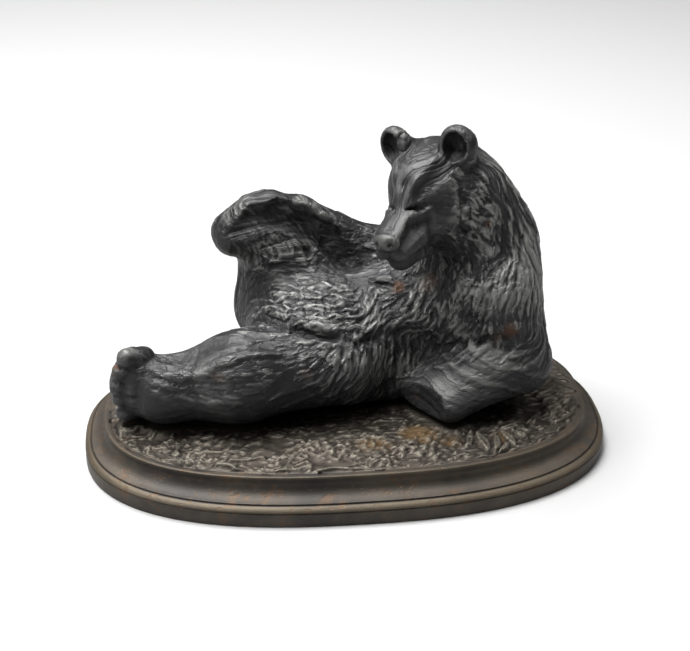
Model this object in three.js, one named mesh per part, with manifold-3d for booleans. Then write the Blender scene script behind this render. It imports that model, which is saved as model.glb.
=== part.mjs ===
// A bear cast in iron, reclining on an oval base with a moulded edge.
// The bear leans back, props itself on its left elbow, turns its head to look out over its left
// forearm, and holds the toes of its raised right hind foot with its right forepaw. Its left
// hind leg is stretched out along the ground.
// Millimetres, +Z up, +X towards the bear's back, -Y towards the side the bear looks out on.
// The origin is the middle of the base's underside.

import * as THREE from "three";
import { edgeTable, triTable } from "three/addons/objects/MarchingCubes.js";
import { mergeVertices } from "three/addons/utils/BufferGeometryUtils.js";
import Module from "manifold-3d";

// Driving dimensions of the base.
const BASE_LENGTH = 246;
const BASE_DEPTH = 150;
const BASE_SQUARENESS = 2.5; // exponent of the oval, where 2 is an ellipse
const BAND_HEIGHT = 7.4; // plain upright band that stands on the table
const FILLET_WIDTH = 2; // sloped strip above the band
const GROOVE_DEPTH = 0.7; // fine groove between the strip and the cove
const COVE_RUN = 8.4; // how far the cove curves in
const COVE_HEIGHT = 6.2;
const FASCIA_HEIGHT = 3.2; // upright face below the sharp upper edge
const EDGE_PROUD = 0.5; // how far the upper edge stands out over the cove
const LEDGE_WIDTH = 2.8; // flat ledge between the upper edge and the modelled ground
const LIP_HEIGHT = 1.2; // ragged lip of the modelled ground, above the ledge
const GROUND_RISE = 3.5; // modelled ground above the ledge, where the bear lies

// Driving dimensions of the bear.
const BEAR_LENGTH = 208; // toes of the stretched leg to the elbow
const SEAT_GAP = 0.3; // the bear rests on the ground across this gap

// How finely the forms are faceted.
const GRID_STEP = 1.9; // spacing of the samples that the bear's skin is found on
const BEAR_TRIANGLES = 7000;
const BLOCK = 4; // samples along each side of a block that is tested for skin as a whole
const BLOCK_REACH = 1.3; // a block holds skin only if its middle is within this many of its sides
const SLIVER = 0.05; // least share of a grid edge between a point of the skin and the edge's end
const STRETCH_PRICE = 2e-3; // price of drawing a long edge together
const FLAT_LIMIT = 1e-4; // planes that are closer to parallel than this meet in no sure point
const LEAST_TURN = 0.3; // a facet may turn until the cosine of the turn falls below this
const LEAST_WIDTH = 0.25; // a facet may not become slimmer than this share of its longest side
const DRIFT = 0.35; // how far a point of the skin is evened out towards its neighbours, as a share
const AROUND = 72; // facets around the oval
const COVE_FACETS = 4;
const GROUND_RINGS = 7;

// The modelled ground is level near the bear and rolls farther off.
const LEVEL_NEAR = 5; // distance from the bear at which the ground starts to sink
const LEVEL_FAR = 16;
const HILL_LENGTH = 33;
const HILL_DEPTH = 37;
const HILL_HEIGHT = 1;
const FLAT_SHARE = 0.55; // share of the way to the lip at which the ground starts to fall

const DARK_IRON = new THREE.MeshStandardMaterial({ color: 0x2b2c29, roughness: 0.42, metalness: 0.85 });
const BROWN_IRON = new THREE.MeshStandardMaterial({ color: 0x39342c, roughness: 0.45, metalness: 0.8 });

const wasm = await Module();
wasm.setup();

const grooveLevel = BAND_HEIGHT + FILLET_WIDTH;
const coveFoot = grooveLevel + GROOVE_DEPTH;
const upperEdge = coveFoot + COVE_HEIGHT + FASCIA_HEIGHT;
const groundLevel = upperEdge + GROUND_RISE;
const posedLength = 208; // the pose below is written for a bear of this length
const bearScale = BEAR_LENGTH / posedLength;

function vec(x, y, z) {
  return new THREE.Vector3(x, y, z);
}

// Turns a closed geometry into a solid, leaving out facets that have shrunk to a line.
function solidFrom(geometry) {
  const bare = new THREE.BufferGeometry().setAttribute("position", geometry.getAttribute("position"));
  if (geometry.index) bare.setIndex(geometry.index);
  const merged = mergeVertices(bare, 1e-4);
  const corners = Array.from(merged.index.array);
  const kept = [];
  for (let i = 0; i < corners.length; i += 3) {
    const [a, b, c] = corners.slice(i, i + 3);
    if (a !== b && b !== c && c !== a) kept.push(a, b, c);
  }
  return new wasm.Manifold(
    new wasm.Mesh({
      numProp: 3,
      vertProperties: new Float32Array(merged.attributes.position.array),
      triVerts: new Uint32Array(kept),
    }),
  );
}

function meshFrom(solid, name, material) {
  const { vertProperties, triVerts } = solid.getMesh();
  const geometry = new THREE.BufferGeometry();
  geometry.setAttribute("position", new THREE.BufferAttribute(new Float32Array(vertProperties), 3));
  geometry.setIndex(new THREE.BufferAttribute(new Uint32Array(triVerts), 1));
  geometry.computeVertexNormals();
  const mesh = new THREE.Mesh(geometry, material);
  mesh.name = name;
  return mesh;
}

// Forms of the bear's body. Each is a function that gives the distance from a point to its skin,
// less than zero inside. A form carries the width over which it melts into what it joins.

// A tapering limb between two joints.
function limb(from, fromRadius, to, toRadius, melt) {
  const along = to.clone().sub(from);
  const square = along.lengthSq();
  const step = fromRadius - toRadius;
  const flank = square - step * step;
  const box = new THREE.Box3().setFromPoints([from, to]).expandByScalar(Math.max(fromRadius, toRadius));
  const off = vec(0, 0, 0);
  const distance = (x, y, z) => {
    off.set(x, y, z).sub(from);
    const fromStart = off.dot(along);
    const fromEnd = fromStart - square;
    const across = off.multiplyScalar(square).addScaledVector(along, -fromStart).lengthSq();
    const startGap = fromStart * fromStart * square;
    const endGap = fromEnd * fromEnd * square;
    const rim = Math.sign(step) * step * step * across;
    if (Math.sign(fromEnd) * flank * endGap > rim) return Math.sqrt(across + endGap) / square - toRadius;
    if (Math.sign(fromStart) * flank * startGap < rim) {
      return Math.sqrt(across + startGap) / square - fromRadius;
    }
    return (Math.sqrt((across * flank) / square) + fromStart * step) / square - fromRadius;
  };
  return { distance, melt, box };
}

// A rounded mass with three radii, turned by a rotation.
function mass(centre, radii, melt, turn = new THREE.Quaternion()) {
  const back = turn.clone().invert();
  const size = vec(1, 1, 1).multiplyScalar(2 * Math.max(...radii));
  const box = new THREE.Box3().setFromCenterAndSize(centre, size);
  const span = vec(...radii);
  const off = vec(0, 0, 0);
  const distance = (x, y, z) => {
    off.set(x, y, z).sub(centre).applyQuaternion(back).divide(span);
    const near = off.length();
    const slope = off.divide(span).length();
    return slope > 0 ? (near * (near - 1)) / slope : -Math.min(...radii);
  };
  return { distance, melt, box };
}

// A turn that carries +X to the given direction.
function facing(x, y, z) {
  return new THREE.Quaternion().setFromUnitVectors(vec(1, 0, 0), vec(x, y, z).normalize());
}

// The same form, cut away instead of added.
function hollow(form) {
  return { ...form, cut: true };
}

// The head has a frame of its own: forward along the muzzle, left, and up.
const HEAD_CENTRE = vec(40.5, 4, 101);
const HEAD_YAW = 36; // degrees turned from -Y towards -X
const HEAD_NOD = 10; // degrees down
const HEAD_TILT = 11; // degrees, with the left ear up
const headFrame = (() => {
  const yaw = THREE.MathUtils.degToRad(HEAD_YAW);
  const forward = vec(-Math.sin(yaw), -Math.cos(yaw), 0);
  const left = vec(0, 0, 1).cross(forward);
  forward.applyAxisAngle(left, THREE.MathUtils.degToRad(HEAD_NOD));
  left.applyAxisAngle(forward, THREE.MathUtils.degToRad(HEAD_TILT));
  const up = forward.clone().cross(left);
  return new THREE.Matrix4().makeBasis(forward, left, up).setPosition(HEAD_CENTRE);
})();
const headTurn = new THREE.Quaternion().setFromRotationMatrix(headFrame);

function onHead(forward, left, up) {
  return vec(forward, left, up).applyMatrix4(headFrame);
}

// Limbs joined end to end through the given places, each place with its radius.
function chain(stops, melt) {
  return stops.slice(1).map(([to, toRadius], i) => limb(...stops[i], to, toRadius, melt));
}

// Places on the head, each with its radius, taken to the given side of it.
function onSide(stops, side) {
  return stops.map(([[forward, left, up], radius]) => [onHead(forward, side * left, up), radius]);
}

function torso() {
  return [
    mass(vec(-15, 16, 26), [30, 27, 27], 12), // hips
    mass(vec(5, 13, 29), [35, 24, 25], 12), // belly
    mass(vec(38, 11, 33), [32, 25, 29], 14), // chest
    mass(vec(64, 13, 44), [28, 31, 38], 14), // back
    limb(vec(64, 9, 73), 25.5, vec(53, 8, 94.5), 23, 12), // neck
    limb(vec(24, 0, 10), 14, vec(0, -3, 12), 13, 8), // lower flank
    hollow(limb(vec(16, -21, 33), 5, vec(33, -19, 31), 8, 6)), // below the ribs
    hollow(limb(vec(33, -19, 31), 8, vec(50, -21, 29), 5, 6)),
  ];
}

function nearHindLeg() {
  const toes = [[34, -104.5], [27.4, -107], [20.2, -108.5], [13, -108], [6, -106.5]]; // height and tip
  return [
    limb(vec(-4, -6, 23), 21, vec(-50, -15, 20), 19.5, 9),
    limb(vec(-50, -15, 20), 19.5, vec(-84, -15, 15), 14, 8),
    limb(vec(-84, -15, 15), 14, vec(-97, -10, 16), 12, 6),
    mass(vec(-98, -8, 17), [8, 13, 16], 5),
    limb(vec(-86, -14, 20), 9, vec(-96, -13, 26.5), 7, 5), // instep, up to the topmost toe
    ...toes.map(([z, tip]) => limb(vec(-93, -12, 0.8 * z + 3), 5.6, vec(tip + 4.4, -17.5, z), 4.4, 0.8)),
    hollow(limb(vec(-96.5, -24, 34), 2.6, vec(-97.5, -28, 8), 3.6, 1.2)), // crease behind the toes
  ];
}

function farHindLeg() {
  return [
    limb(vec(-8, 32, 28), 22, vec(-31, 40, 28), 17, 12),
    limb(vec(-31, 40, 28), 17, vec(-33, 37, 58), 14.5, 9),
    limb(vec(-11, 31, 42), 17, vec(-33, 34, 72), 13, 8), // shin, folded back over the thigh
    mass(vec(-45, 33, 71), [14, 11, 9], 7, facing(-0.75, 0, -0.66)), // heel and instep
    limb(vec(-51, 32, 72), 8.5, vec(-41, 31, 82.5), 7, 6),
    ...[-7, -2, 3, 8].map((y) => limb(vec(-42, 31 + y, 82), 4.6, vec(-34, 30 + y, 85.5), 4, 2.5)), // toes
  ];
}

function farArm() {
  const hand = vec(-30, 31, 85);
  const wrist = vec(-18, 33, 80);
  const elbow = vec(14, 34, 59);
  const gap = [
    [vec(-48, 20.5, 76), 3.4],
    [vec(-40, 21, 82.5), 5.2],
    [vec(-28, 23, 83), 6],
    [vec(-17, 25, 78), 6.4],
    [vec(-6, 25, 69), 6],
    [vec(3, 22.5, 60), 4],
  ];
  return [
    limb(vec(40, 28, 58), 15, elbow, 9.5, 8),
    limb(elbow, 9.5, wrist, 7, 6),
    limb(wrist, 7, hand, 6, 4),
    ...[25, 29.5, 34].map((y, i) => limb(vec(-30, y, 86), 4, vec(-40 + i * 2, y - 2, 86), 3.4, 2)), // toes
    ...chain(gap, 3).map(hollow), // between the arm and the raised leg
  ];
}

function nearArm() {
  return [
    limb(vec(68, -7, 56), 19, vec(80, -13, 21), 14, 12),
    limb(vec(80, -13, 18.5), 13, vec(60, -19, 17), 11.5, 8),
    limb(vec(33, -15.5, 8.5), 7.4, vec(70, -13, 24), 16.5, 4), // forearm, its upper side broad and flat
    limb(vec(45, -31, 8), 6.8, vec(76, -18, 21), 12.5, 4),
    limb(vec(36, -20, 8.5), 7.6, vec(46, -30, 8), 7.2, 3),
    limb(vec(42, -24, 10), 8, vec(66, -18, 21), 13.5, 5),
    hollow(mass(vec(28.8, -31.7, 9), [9, 21, 22], 0.9, facing(-0.8, -0.58, 0.06))), // blunt end of the paw
    ...[0, 1, 2, 3].map((i) => {
      const [x, y] = [31 + 4.1 * i, -21.5 - 5.5 * i];
      return hollow(limb(vec(x, y, 16), 0.9, vec(x - 1, y - 1, 1), 1.3, 0.9)); // between the toes
    }),
  ];
}

function ear(side) {
  const middle = onHead(-1, side * 16 + 1.4, side > 0 ? 22 : 21);
  const open = facing(1, side > 0 ? 0 : -0.35, 0.1).premultiply(headTurn);
  const mouth = vec(5.5, 0, 0.5).applyQuaternion(open).add(middle);
  return [
    limb(onHead(-6, side * 11, 11), 9, onHead(-3, side * 14.5, 18), 7, 4),
    mass(middle, [6, 8.8, 9], 2.5, open),
    hollow(mass(mouth, [6.6, 5.8, 6.7], 1, open)),
  ];
}

function head() {
  const muzzleTop = [[[22, 3.6, 0.4], 7.8], [[41, 3, -1.5], 5]];
  const upperLip = [[[30, 4.4, -6.4], 6.2], [[42.4, 3.4, -7.2], 4.7]];
  const muzzleSide = [[[27.5, 13.5, 0.5], 5], [[34, 10, 1], 4.4], [[43, 8.4, -2.2], 3]];
  const brow = [
    [[24.6, 0.6, 5.8], 2.6],
    [[22.2, 3.4, 8.8], 2.8],
    [[17.6, 6.6, 12.2], 3],
    [[8, 9, 15.5], 3.4],
  ];
  const temple = [
    [[28.9, 8, 10.4], 2.8],
    [[27.4, 12, 13.2], 8.2],
    [[22, 15.6, 17], 8.8],
    [[12.8, 18.9, 20.3], 8.8],
  ];
  const mouth = [[[46.5, 0, -9.6], 1.1], [[38.5, 7.6, -10.8], 1.2], [[25, 12, -11], 1.2]];
  const ruff = [[[-4, 17, 10], 5], [[-4, 19.5, 0], 5.4], [[0, 20.5, -12], 5.4], [[4, 17, -22], 5]];
  return [
    mass(onHead(-2, 1, 0), [24, 20.5, 22.5], 8, headTurn), // skull
    mass(onHead(9, 0, 8), [14.5, 13.5, 12], 6, headTurn), // forehead
    mass(onHead(2, 12, -9), [16, 12, 16], 7, headTurn), // left cheek
    mass(onHead(2, -9, -9), [16, 10, 16], 7, headTurn), // right cheek
    limb(onHead(14, 0, -4.5), 11.4, onHead(32, 0, -5.4), 8.6, 6), // muzzle
    ...[1, -1].flatMap((side) => [
      ...chain(onSide(muzzleTop, side), 1.6),
      ...chain(onSide(upperLip, side), 2),
      ...chain(onSide(muzzleSide, side), 1.5).map(hollow),
      ...chain(onSide(brow, side), 4),
      ...chain(onSide(temple, side), 1.2).map(hollow),
    ]),
    limb(onHead(13, 0, -14), 10.2, onHead(38, 0, -13), 5.6, 2), // lower jaw
    mass(onHead(45, 0, -1.2), [3.2, 6.4, 3.9], 1, headTurn), // nose
    ...[1, -1].flatMap((side) => [
      hollow(limb(onHead(28.4, side * 3.6, 4.8), 1.6, onHead(21.8, side * 11.4, 5), 1.8, 1)), // eye socket
      mass(onHead(22.3, side * 6.2, 4.8), [2.5, 2.5, 2], 0.5, headTurn), // eye
      hollow(mass(onHead(48, side * 3.4, -0.8), [1.8, 1.6, 1.2], 0.8, headTurn)), // nostril
      ...chain(onSide(mouth, side), 1).map(hollow),
      ...ear(side),
    ]),
    ...chain(onSide(ruff, 1), 6), // along the left cheek
  ];
}

// Joins two distances with a soft corner, as wax is smoothed over a joint.
function blend(a, b, width) {
  const h = Math.max(width - Math.abs(a - b), 0) / width;
  return Math.min(a, b) - h * h * width * 0.25;
}

// Distance to the bear's skin: every form melted into the ones before it.
function bearDistance(forms, x, y, z) {
  let d = 1e3;
  for (const form of forms) {
    const { min, max } = form.box;
    const away = Math.max(min.x - x, x - max.x, min.y - y, y - max.y, min.z - z, z - max.z);
    if (form.cut) {
      if (away < form.melt - d) d = -blend(-d, form.distance(x, y, z), form.melt);
    } else if (away < form.melt + d) {
      d = blend(d, form.distance(x, y, z), form.melt);
    }
  }
  return d;
}

// Samples the distance on a grid. Blocks that lie well off the skin take the value at their middle.
function sampleField(forms, step) {
  const box = new THREE.Box3();
  forms.filter((form) => !form.cut).forEach((form) => box.union(form.box));
  box.expandByScalar(2 * step);
  box.min.z = -step; // the bear is cut off flat where it rests
  const size = box.getSize(vec(0, 0, 0)).divideScalar(step * BLOCK).ceil().multiplyScalar(BLOCK);
  const [nx, ny, nz] = size.toArray();
  const values = new Float32Array(nx * ny * nz);
  const at = (i, axis) => box.min.getComponent(axis) + i * step;
  const far = step * BLOCK * BLOCK_REACH;
  const half = (BLOCK - 1) / 2;
  for (let k = 0; k < nz; k += BLOCK) {
    for (let j = 0; j < ny; j += BLOCK) {
      for (let i = 0; i < nx; i += BLOCK) {
        const middle = bearDistance(forms, at(i + half, 0), at(j + half, 1), at(k + half, 2));
        for (let cell = 0; cell < BLOCK ** 3; cell += 1) {
          const x = i + (cell % BLOCK);
          const y = j + (Math.floor(cell / BLOCK) % BLOCK);
          const z = k + Math.floor(cell / BLOCK ** 2);
          const away = Math.abs(middle) > far ? middle : bearDistance(forms, at(x, 0), at(y, 1), at(z, 2));
          values[x + nx * (y + ny * z)] = Math.max(away, -at(z, 2)) || 1e-6; // never quite zero
        }
      }
    }
  }
  return { values, at, nx, ny, nz };
}

// Finds the skin where the distance is zero. Points and triangles come as flat lists.
function skinOf(forms, step) {
  const { values, at, nx, ny, nz } = sampleField(forms, step);
  const layer = nx * ny;
  const corner = [0, 1, 1 + nx, nx, layer, layer + 1, layer + 1 + nx, layer + nx];
  const ring = [0, 1, 2, 3];
  const ends = [
    ...ring.map((c) => [c, (c + 1) % 4]),
    ...ring.map((c) => [4 + c, 4 + ((c + 1) % 4)]),
    ...ring.map((c) => [c, c + 4]),
  ];
  const points = [];
  const faces = [];
  const made = new Map();
  const place = (i) => [at(i % nx, 0), at(Math.floor(i / nx) % ny, 1), at(Math.floor(i / layer), 2)];
  const pointOn = (a, b) => {
    const key = Math.min(a, b) * 3 + { 1: 0, [nx]: 1, [layer]: 2 }[Math.abs(a - b)];
    if (!made.has(key)) {
      const share = THREE.MathUtils.clamp(values[a] / (values[a] - values[b]), SLIVER, 1 - SLIVER);
      const [p, q] = [place(a), place(b)];
      made.set(key, points.length / 3);
      points.push(...p.map((value, axis) => value + (q[axis] - value) * share));
    }
    return made.get(key);
  };
  for (let k = 0; k < nz - 1; k += 1) {
    for (let j = 0; j < ny - 1; j += 1) {
      for (let i = 0; i < nx - 1; i += 1) {
        const first = i + nx * j + layer * k;
        let kind = 0;
        for (let c = 0; c < 8; c += 1) if (values[first + corner[c]] < 0) kind |= 1 << c;
        if (edgeTable[kind] === 0) continue;
        for (let t = kind * 16; triTable[t] !== -1; t += 3) {
          for (const c of [0, 2, 1]) {
            const [a, b] = ends[triTable[t + c]];
            faces.push(pointOn(first + corner[a], first + corner[b]));
          }
        }
      }
    }
  }
  return { points, faces };
}

// Thins a skin to the given number of triangles. Each step draws an edge together at the place
// that stays nearest the planes of the facets around it, cheapest edge first.
function thin({ points, faces }, wanted) {
  const count = points.length / 3;
  const planes = new Float64Array(count * 10); // sums of squared plane distances
  const around = Array.from({ length: count }, () => new Set());
  const alive = new Uint8Array(faces.length / 3).fill(1);
  const stamp = new Uint32Array(count);
  const get = (v, target) => target.set(points[3 * v], points[3 * v + 1], points[3 * v + 2]);
  const [p, q, r, n] = [vec(0, 0, 0), vec(0, 0, 0), vec(0, 0, 0), vec(0, 0, 0)];
  for (let f = 0; f < faces.length / 3; f += 1) {
    const tri = faces.slice(3 * f, 3 * f + 3);
    get(tri[0], p);
    n.copy(get(tri[1], q).sub(p)).cross(get(tri[2], r).sub(p));
    const area = n.length() / 2;
    n.normalize();
    const plane = [...n, -n.dot(p)];
    const terms = plane.flatMap((value, i) => plane.slice(i).map((other) => value * other));
    tri.forEach((v) => {
      around[v].add(f);
      terms.forEach((term, i) => {
        planes[10 * v + i] += term * area;
      });
    });
  }
  const price = (sums, { x, y, z }) => {
    const [xx, xy, xz, x1, yy, yz, y1, zz, z1, one] = sums;
    const squares = xx * x * x + yy * y * y + zz * z * z + one;
    return squares + 2 * (xy * x * y + xz * x * z + yz * y * z + x1 * x + y1 * y + z1 * z);
  };
  const best = (a, b) => {
    const sums = Array.from({ length: 10 }, (_, i) => planes[10 * a + i] + planes[10 * b + i]);
    const [xx, xy, xz, x1, yy, yz, y1, zz, z1] = sums;
    get(a, p);
    get(b, q);
    const options = [p.clone(), q.clone(), p.clone().add(q).multiplyScalar(0.5)];
    const grid = new THREE.Matrix3().set(xx, xy, xz, xy, yy, yz, xz, yz, zz);
    if (Math.abs(grid.determinant()) > FLAT_LIMIT * (xx + yy + zz) ** 3) {
      const ideal = vec(-x1, -y1, -z1).applyMatrix3(grid.invert());
      if (ideal.distanceTo(options[2]) < 2 * p.distanceTo(q)) options.unshift(ideal);
    }
    const prices = options.map((option) => price(sums, option));
    const pick = prices.indexOf(Math.min(...prices));
    const stretch = STRETCH_PRICE * p.distanceToSquared(q);
    return { a, b, at: options[pick], cost: Math.max(prices[pick], 0) + stretch };
  };
  const heap = [];
  const lower = (i, j) => heap[i].cost < heap[j].cost;
  const swap = (i, j) => {
    [heap[i], heap[j]] = [heap[j], heap[i]];
  };
  const push = (a, b) => {
    const item = best(a, b);
    item.stamps = [stamp[a], stamp[b]];
    heap.push(item);
    let i = heap.length - 1;
    while (i > 0 && lower(i, (i - 1) >> 1)) {
      swap(i, (i - 1) >> 1);
      i = (i - 1) >> 1;
    }
  };
  const pop = () => {
    swap(0, heap.length - 1);
    const item = heap.pop();
    for (let i = 0; ; ) {
      let least = i;
      for (const child of [2 * i + 1, 2 * i + 2]) {
        if (child < heap.length && lower(child, least)) least = child;
      }
      if (least === i) return item;
      swap(i, least);
      i = least;
    }
  };
  const neighbours = (v) => {
    const corners = [...around[v]].flatMap((f) => faces.slice(3 * f, 3 * f + 3));
    return new Set(corners.filter((u) => u !== v));
  };
  const across = (t) => t[1].clone().sub(t[0]).cross(t[2].clone().sub(t[0]));
  const width = (t) => across(t).length() / Math.max(...t.map((c, i) => c.distanceToSquared(t[(i + 1) % 3])));
  const flips = (v, other, to) =>
    [...around[v]].some((f) => {
      const tri = faces.slice(3 * f, 3 * f + 3);
      if (tri.includes(other)) return false;
      const before = tri.map((u) => get(u, vec(0, 0, 0)));
      const after = tri.map((u, i) => (u === v ? to : before[i]));
      const [was, is] = [across(before), across(after)];
      const turns = is.dot(was) < LEAST_TURN * is.length() * was.length();
      return turns || width(after) < Math.min(LEAST_WIDTH, width(before));
    });
  for (let v = 0; v < count; v += 1) neighbours(v).forEach((u) => v < u && push(v, u));
  let left = faces.length / 3;
  while (left > wanted && heap.length > 0) {
    const { a, b, at, stamps } = pop();
    if (stamps[0] !== stamp[a] || stamps[1] !== stamp[b]) continue;
    const beside = neighbours(b);
    const shared = [...neighbours(a)].filter((u) => beside.has(u));
    if (shared.length !== 2 || flips(a, b, at) || flips(b, a, at)) continue;
    points.splice(3 * a, 3, at.x, at.y, at.z);
    for (let i = 0; i < 10; i += 1) planes[10 * a + i] += planes[10 * b + i];
    for (const f of around[b]) {
      const tri = faces.slice(3 * f, 3 * f + 3);
      if (tri.includes(a)) {
        alive[f] = 0;
        left -= 1;
        tri.forEach((u) => u !== b && around[u].delete(f));
      } else {
        faces[3 * f + tri.indexOf(b)] = a;
        around[a].add(f);
      }
    }
    around[b].clear();
    stamp[a] += 1;
    stamp[b] += 1;
    neighbours(a).forEach((u) => push(a, u));
  }
  return { points, faces: faces.filter((_, i) => alive[Math.floor(i / 3)]) };
}

// Evens out a thinned skin: each point drifts towards the middle of its neighbours and is then set
// back where the distance is zero. Points on the flat underside stay as they are.
function even({ points, faces }) {
  const beside = Array.from({ length: points.length / 3 }, () => new Set());
  faces.forEach((v, i) => beside[v].add(faces[i - (i % 3) + ((i + 1) % 3)]));
  const at = (v) => vec(...points.slice(3 * v, 3 * v + 3));
  const probe = GRID_STEP / 6;
  const slopeAlong = (p, axis) => {
    const [high, low] = [p.clone(), p.clone()];
    high.setComponent(axis, p.getComponent(axis) + probe);
    low.setComponent(axis, p.getComponent(axis) - probe);
    return (bearDistance(forms, ...high) - bearDistance(forms, ...low)) / (2 * probe);
  };
  beside.forEach((near, v) => {
    const p = at(v);
    if (near.size === 0 || p.z < GRID_STEP / 2) return;
    const middle = vec(0, 0, 0);
    near.forEach((u) => middle.add(at(u)));
    p.lerp(middle.divideScalar(near.size), DRIFT);
    const slope = vec(slopeAlong(p, 0), slopeAlong(p, 1), slopeAlong(p, 2));
    const step = bearDistance(forms, ...p) / Math.max(slope.lengthSq(), 0.25);
    p.addScaledVector(slope, -THREE.MathUtils.clamp(step, -GRID_STEP / 2, GRID_STEP / 2));
    points.splice(3 * v, 3, p.x, p.y, Math.max(p.z, GRID_STEP / 4));
  });
  return { points, faces };
}

const forms = [...torso(), ...farHindLeg(), ...farArm(), ...nearHindLeg(), ...nearArm(), ...head()];

function makeBear() {
  const skin = even(thin(even(even(skinOf(forms, GRID_STEP))), BEAR_TRIANGLES));
  const geometry = new THREE.BufferGeometry();
  geometry.setAttribute("position", new THREE.Float32BufferAttribute(skin.points, 3));
  geometry.setIndex(skin.faces);
  geometry.scale(bearScale, bearScale, bearScale);
  geometry.translate(0, 0, groundLevel + SEAT_GAP);
  return solidFrom(geometry);
}

// Point on the base's oval, moved in square to the edge.
function ovalPoint(turn, inset) {
  const [c, s] = [Math.cos(turn), Math.sin(turn)];
  const [halfLength, halfDepth] = [BASE_LENGTH / 2, BASE_DEPTH / 2];
  const reach = (Math.abs(c) ** BASE_SQUARENESS + Math.abs(s) ** BASE_SQUARENESS) ** (-1 / BASE_SQUARENESS);
  const steep = (value, half) => (Math.sign(value) * Math.abs(value) ** (BASE_SQUARENESS - 1)) / half;
  const out = new THREE.Vector2(steep(c, halfLength), steep(s, halfDepth)).normalize();
  return new THREE.Vector2(halfLength * reach * c, halfDepth * reach * s).addScaledVector(out, -inset);
}

// Height of the modelled ground: broken soil that sinks to a ragged lip, level under the bear.
function groundHeight(x, y, share) {
  const [u, v] = [x / bearScale, y / bearScale];
  const [around, along] = [(2 * Math.PI * u) / HILL_LENGTH, (2 * Math.PI * v) / HILL_DEPTH];
  const waves = Math.sin(around + Math.sin(along / 2)) * Math.cos(along + Math.sin(around / 3));
  const fall = (GROUND_RISE - LIP_HEIGHT) * THREE.MathUtils.smoothstep(share, FLAT_SHARE, 1);
  const sunk = fall + (HILL_HEIGHT / 2) * (1 + waves);
  return groundLevel - sunk * THREE.MathUtils.smoothstep(bearDistance(forms, u, v, 0), LEVEL_NEAR, LEVEL_FAR);
}

function makeBase() {
  const cove = Array.from({ length: COVE_FACETS + 1 }, (_, i) => {
    const turn = (i / COVE_FACETS) * (Math.PI / 2);
    return [FILLET_WIDTH + COVE_RUN * Math.sin(turn), coveFoot + COVE_HEIGHT * (1 - Math.cos(turn))];
  });
  const edgeInset = FILLET_WIDTH + COVE_RUN - EDGE_PROUD;
  const moulding = [
    [0, 0],
    [0, BAND_HEIGHT],
    [FILLET_WIDTH, grooveLevel],
    [FILLET_WIDTH + GROOVE_DEPTH, coveFoot],
    ...cove,
    [edgeInset, upperEdge],
    [edgeInset + LEDGE_WIDTH, upperEdge],
  ];
  const rings = Array.from({ length: GROUND_RINGS }, (_, i) => 1 - i / GROUND_RINGS);
  const steps = 1 + moulding.length + rings.length + 1;
  const base = new THREE.LatheGeometry(
    Array.from({ length: steps }, (_, i) => new THREE.Vector2(0, i)),
    AROUND,
  );
  const position = base.getAttribute("position");
  for (let i = 0; i <= AROUND; i += 1) {
    const turn = ((i % AROUND) / AROUND) * 2 * Math.PI;
    const lip = ovalPoint(turn, edgeInset + LEDGE_WIDTH + LIP_HEIGHT / 2);
    const section = [
      vec(0, 0, 0),
      ...moulding.map(([inset, z]) => vec(...ovalPoint(turn, inset), z)),
      ...rings.map((share) => {
        const [x, y] = [lip.x * share, lip.y * share];
        return vec(x, y, groundHeight(x, y, share));
      }),
      vec(0, 0, groundHeight(0, 0, 0)),
    ];
    section.forEach((point, j) => position.setXYZ(i * steps + j, ...point));
  }
  return solidFrom(base);
}

const base = makeBase();
const bear = makeBear();
const sculpture = new THREE.Group();
sculpture.add(meshFrom(base, "base", BROWN_IRON), meshFrom(bear, "bear", DARK_IRON));
export default sculpture;
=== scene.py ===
"""A bear cast in iron, reclining on an oval base with a moulded edge and modelled ground.

The bear's fur, face and paws are modelled over the frame's solid, lock by lock, and the ground is
strewn with leaves, twigs, grass and stones. Sizes are in millimetres until a piece is finished.
"""

import math

import bmesh
import bpy
import numpy as np
from bpy.props import FloatProperty, FloatVectorProperty, IntProperty, PointerProperty
from mathutils import Matrix, Vector, kdtree


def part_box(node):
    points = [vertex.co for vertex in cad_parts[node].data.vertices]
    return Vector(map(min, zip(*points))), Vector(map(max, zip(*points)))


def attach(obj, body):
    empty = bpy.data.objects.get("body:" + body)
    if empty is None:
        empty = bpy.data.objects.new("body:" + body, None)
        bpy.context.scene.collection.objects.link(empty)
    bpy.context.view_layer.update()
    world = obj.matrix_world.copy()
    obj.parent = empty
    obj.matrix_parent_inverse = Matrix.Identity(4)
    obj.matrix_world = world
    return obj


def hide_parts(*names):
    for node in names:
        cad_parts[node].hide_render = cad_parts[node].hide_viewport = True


bl_info = {
    "name": "Reclining Iron Bear",
    "version": (1, 0, 0),
    "blender": (4, 5, 0),
    "location": "View3D > Sidebar > Iron Bear",
    "description": "Models the fur, the ground and the patina of a cast iron bear",
    "category": "Object",
}

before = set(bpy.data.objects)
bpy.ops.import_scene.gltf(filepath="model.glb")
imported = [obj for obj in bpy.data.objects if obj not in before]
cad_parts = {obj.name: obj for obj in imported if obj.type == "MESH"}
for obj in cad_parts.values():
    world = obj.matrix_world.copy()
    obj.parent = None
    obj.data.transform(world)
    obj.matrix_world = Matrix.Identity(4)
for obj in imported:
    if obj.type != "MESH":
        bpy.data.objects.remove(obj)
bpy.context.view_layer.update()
MM = 0.001
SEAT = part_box("bear")[0].z / MM  # height at which the bear lies
BASE_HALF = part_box("base")[1] / MM
SEED = 7


# ---- Settings that a user may change ----


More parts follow.
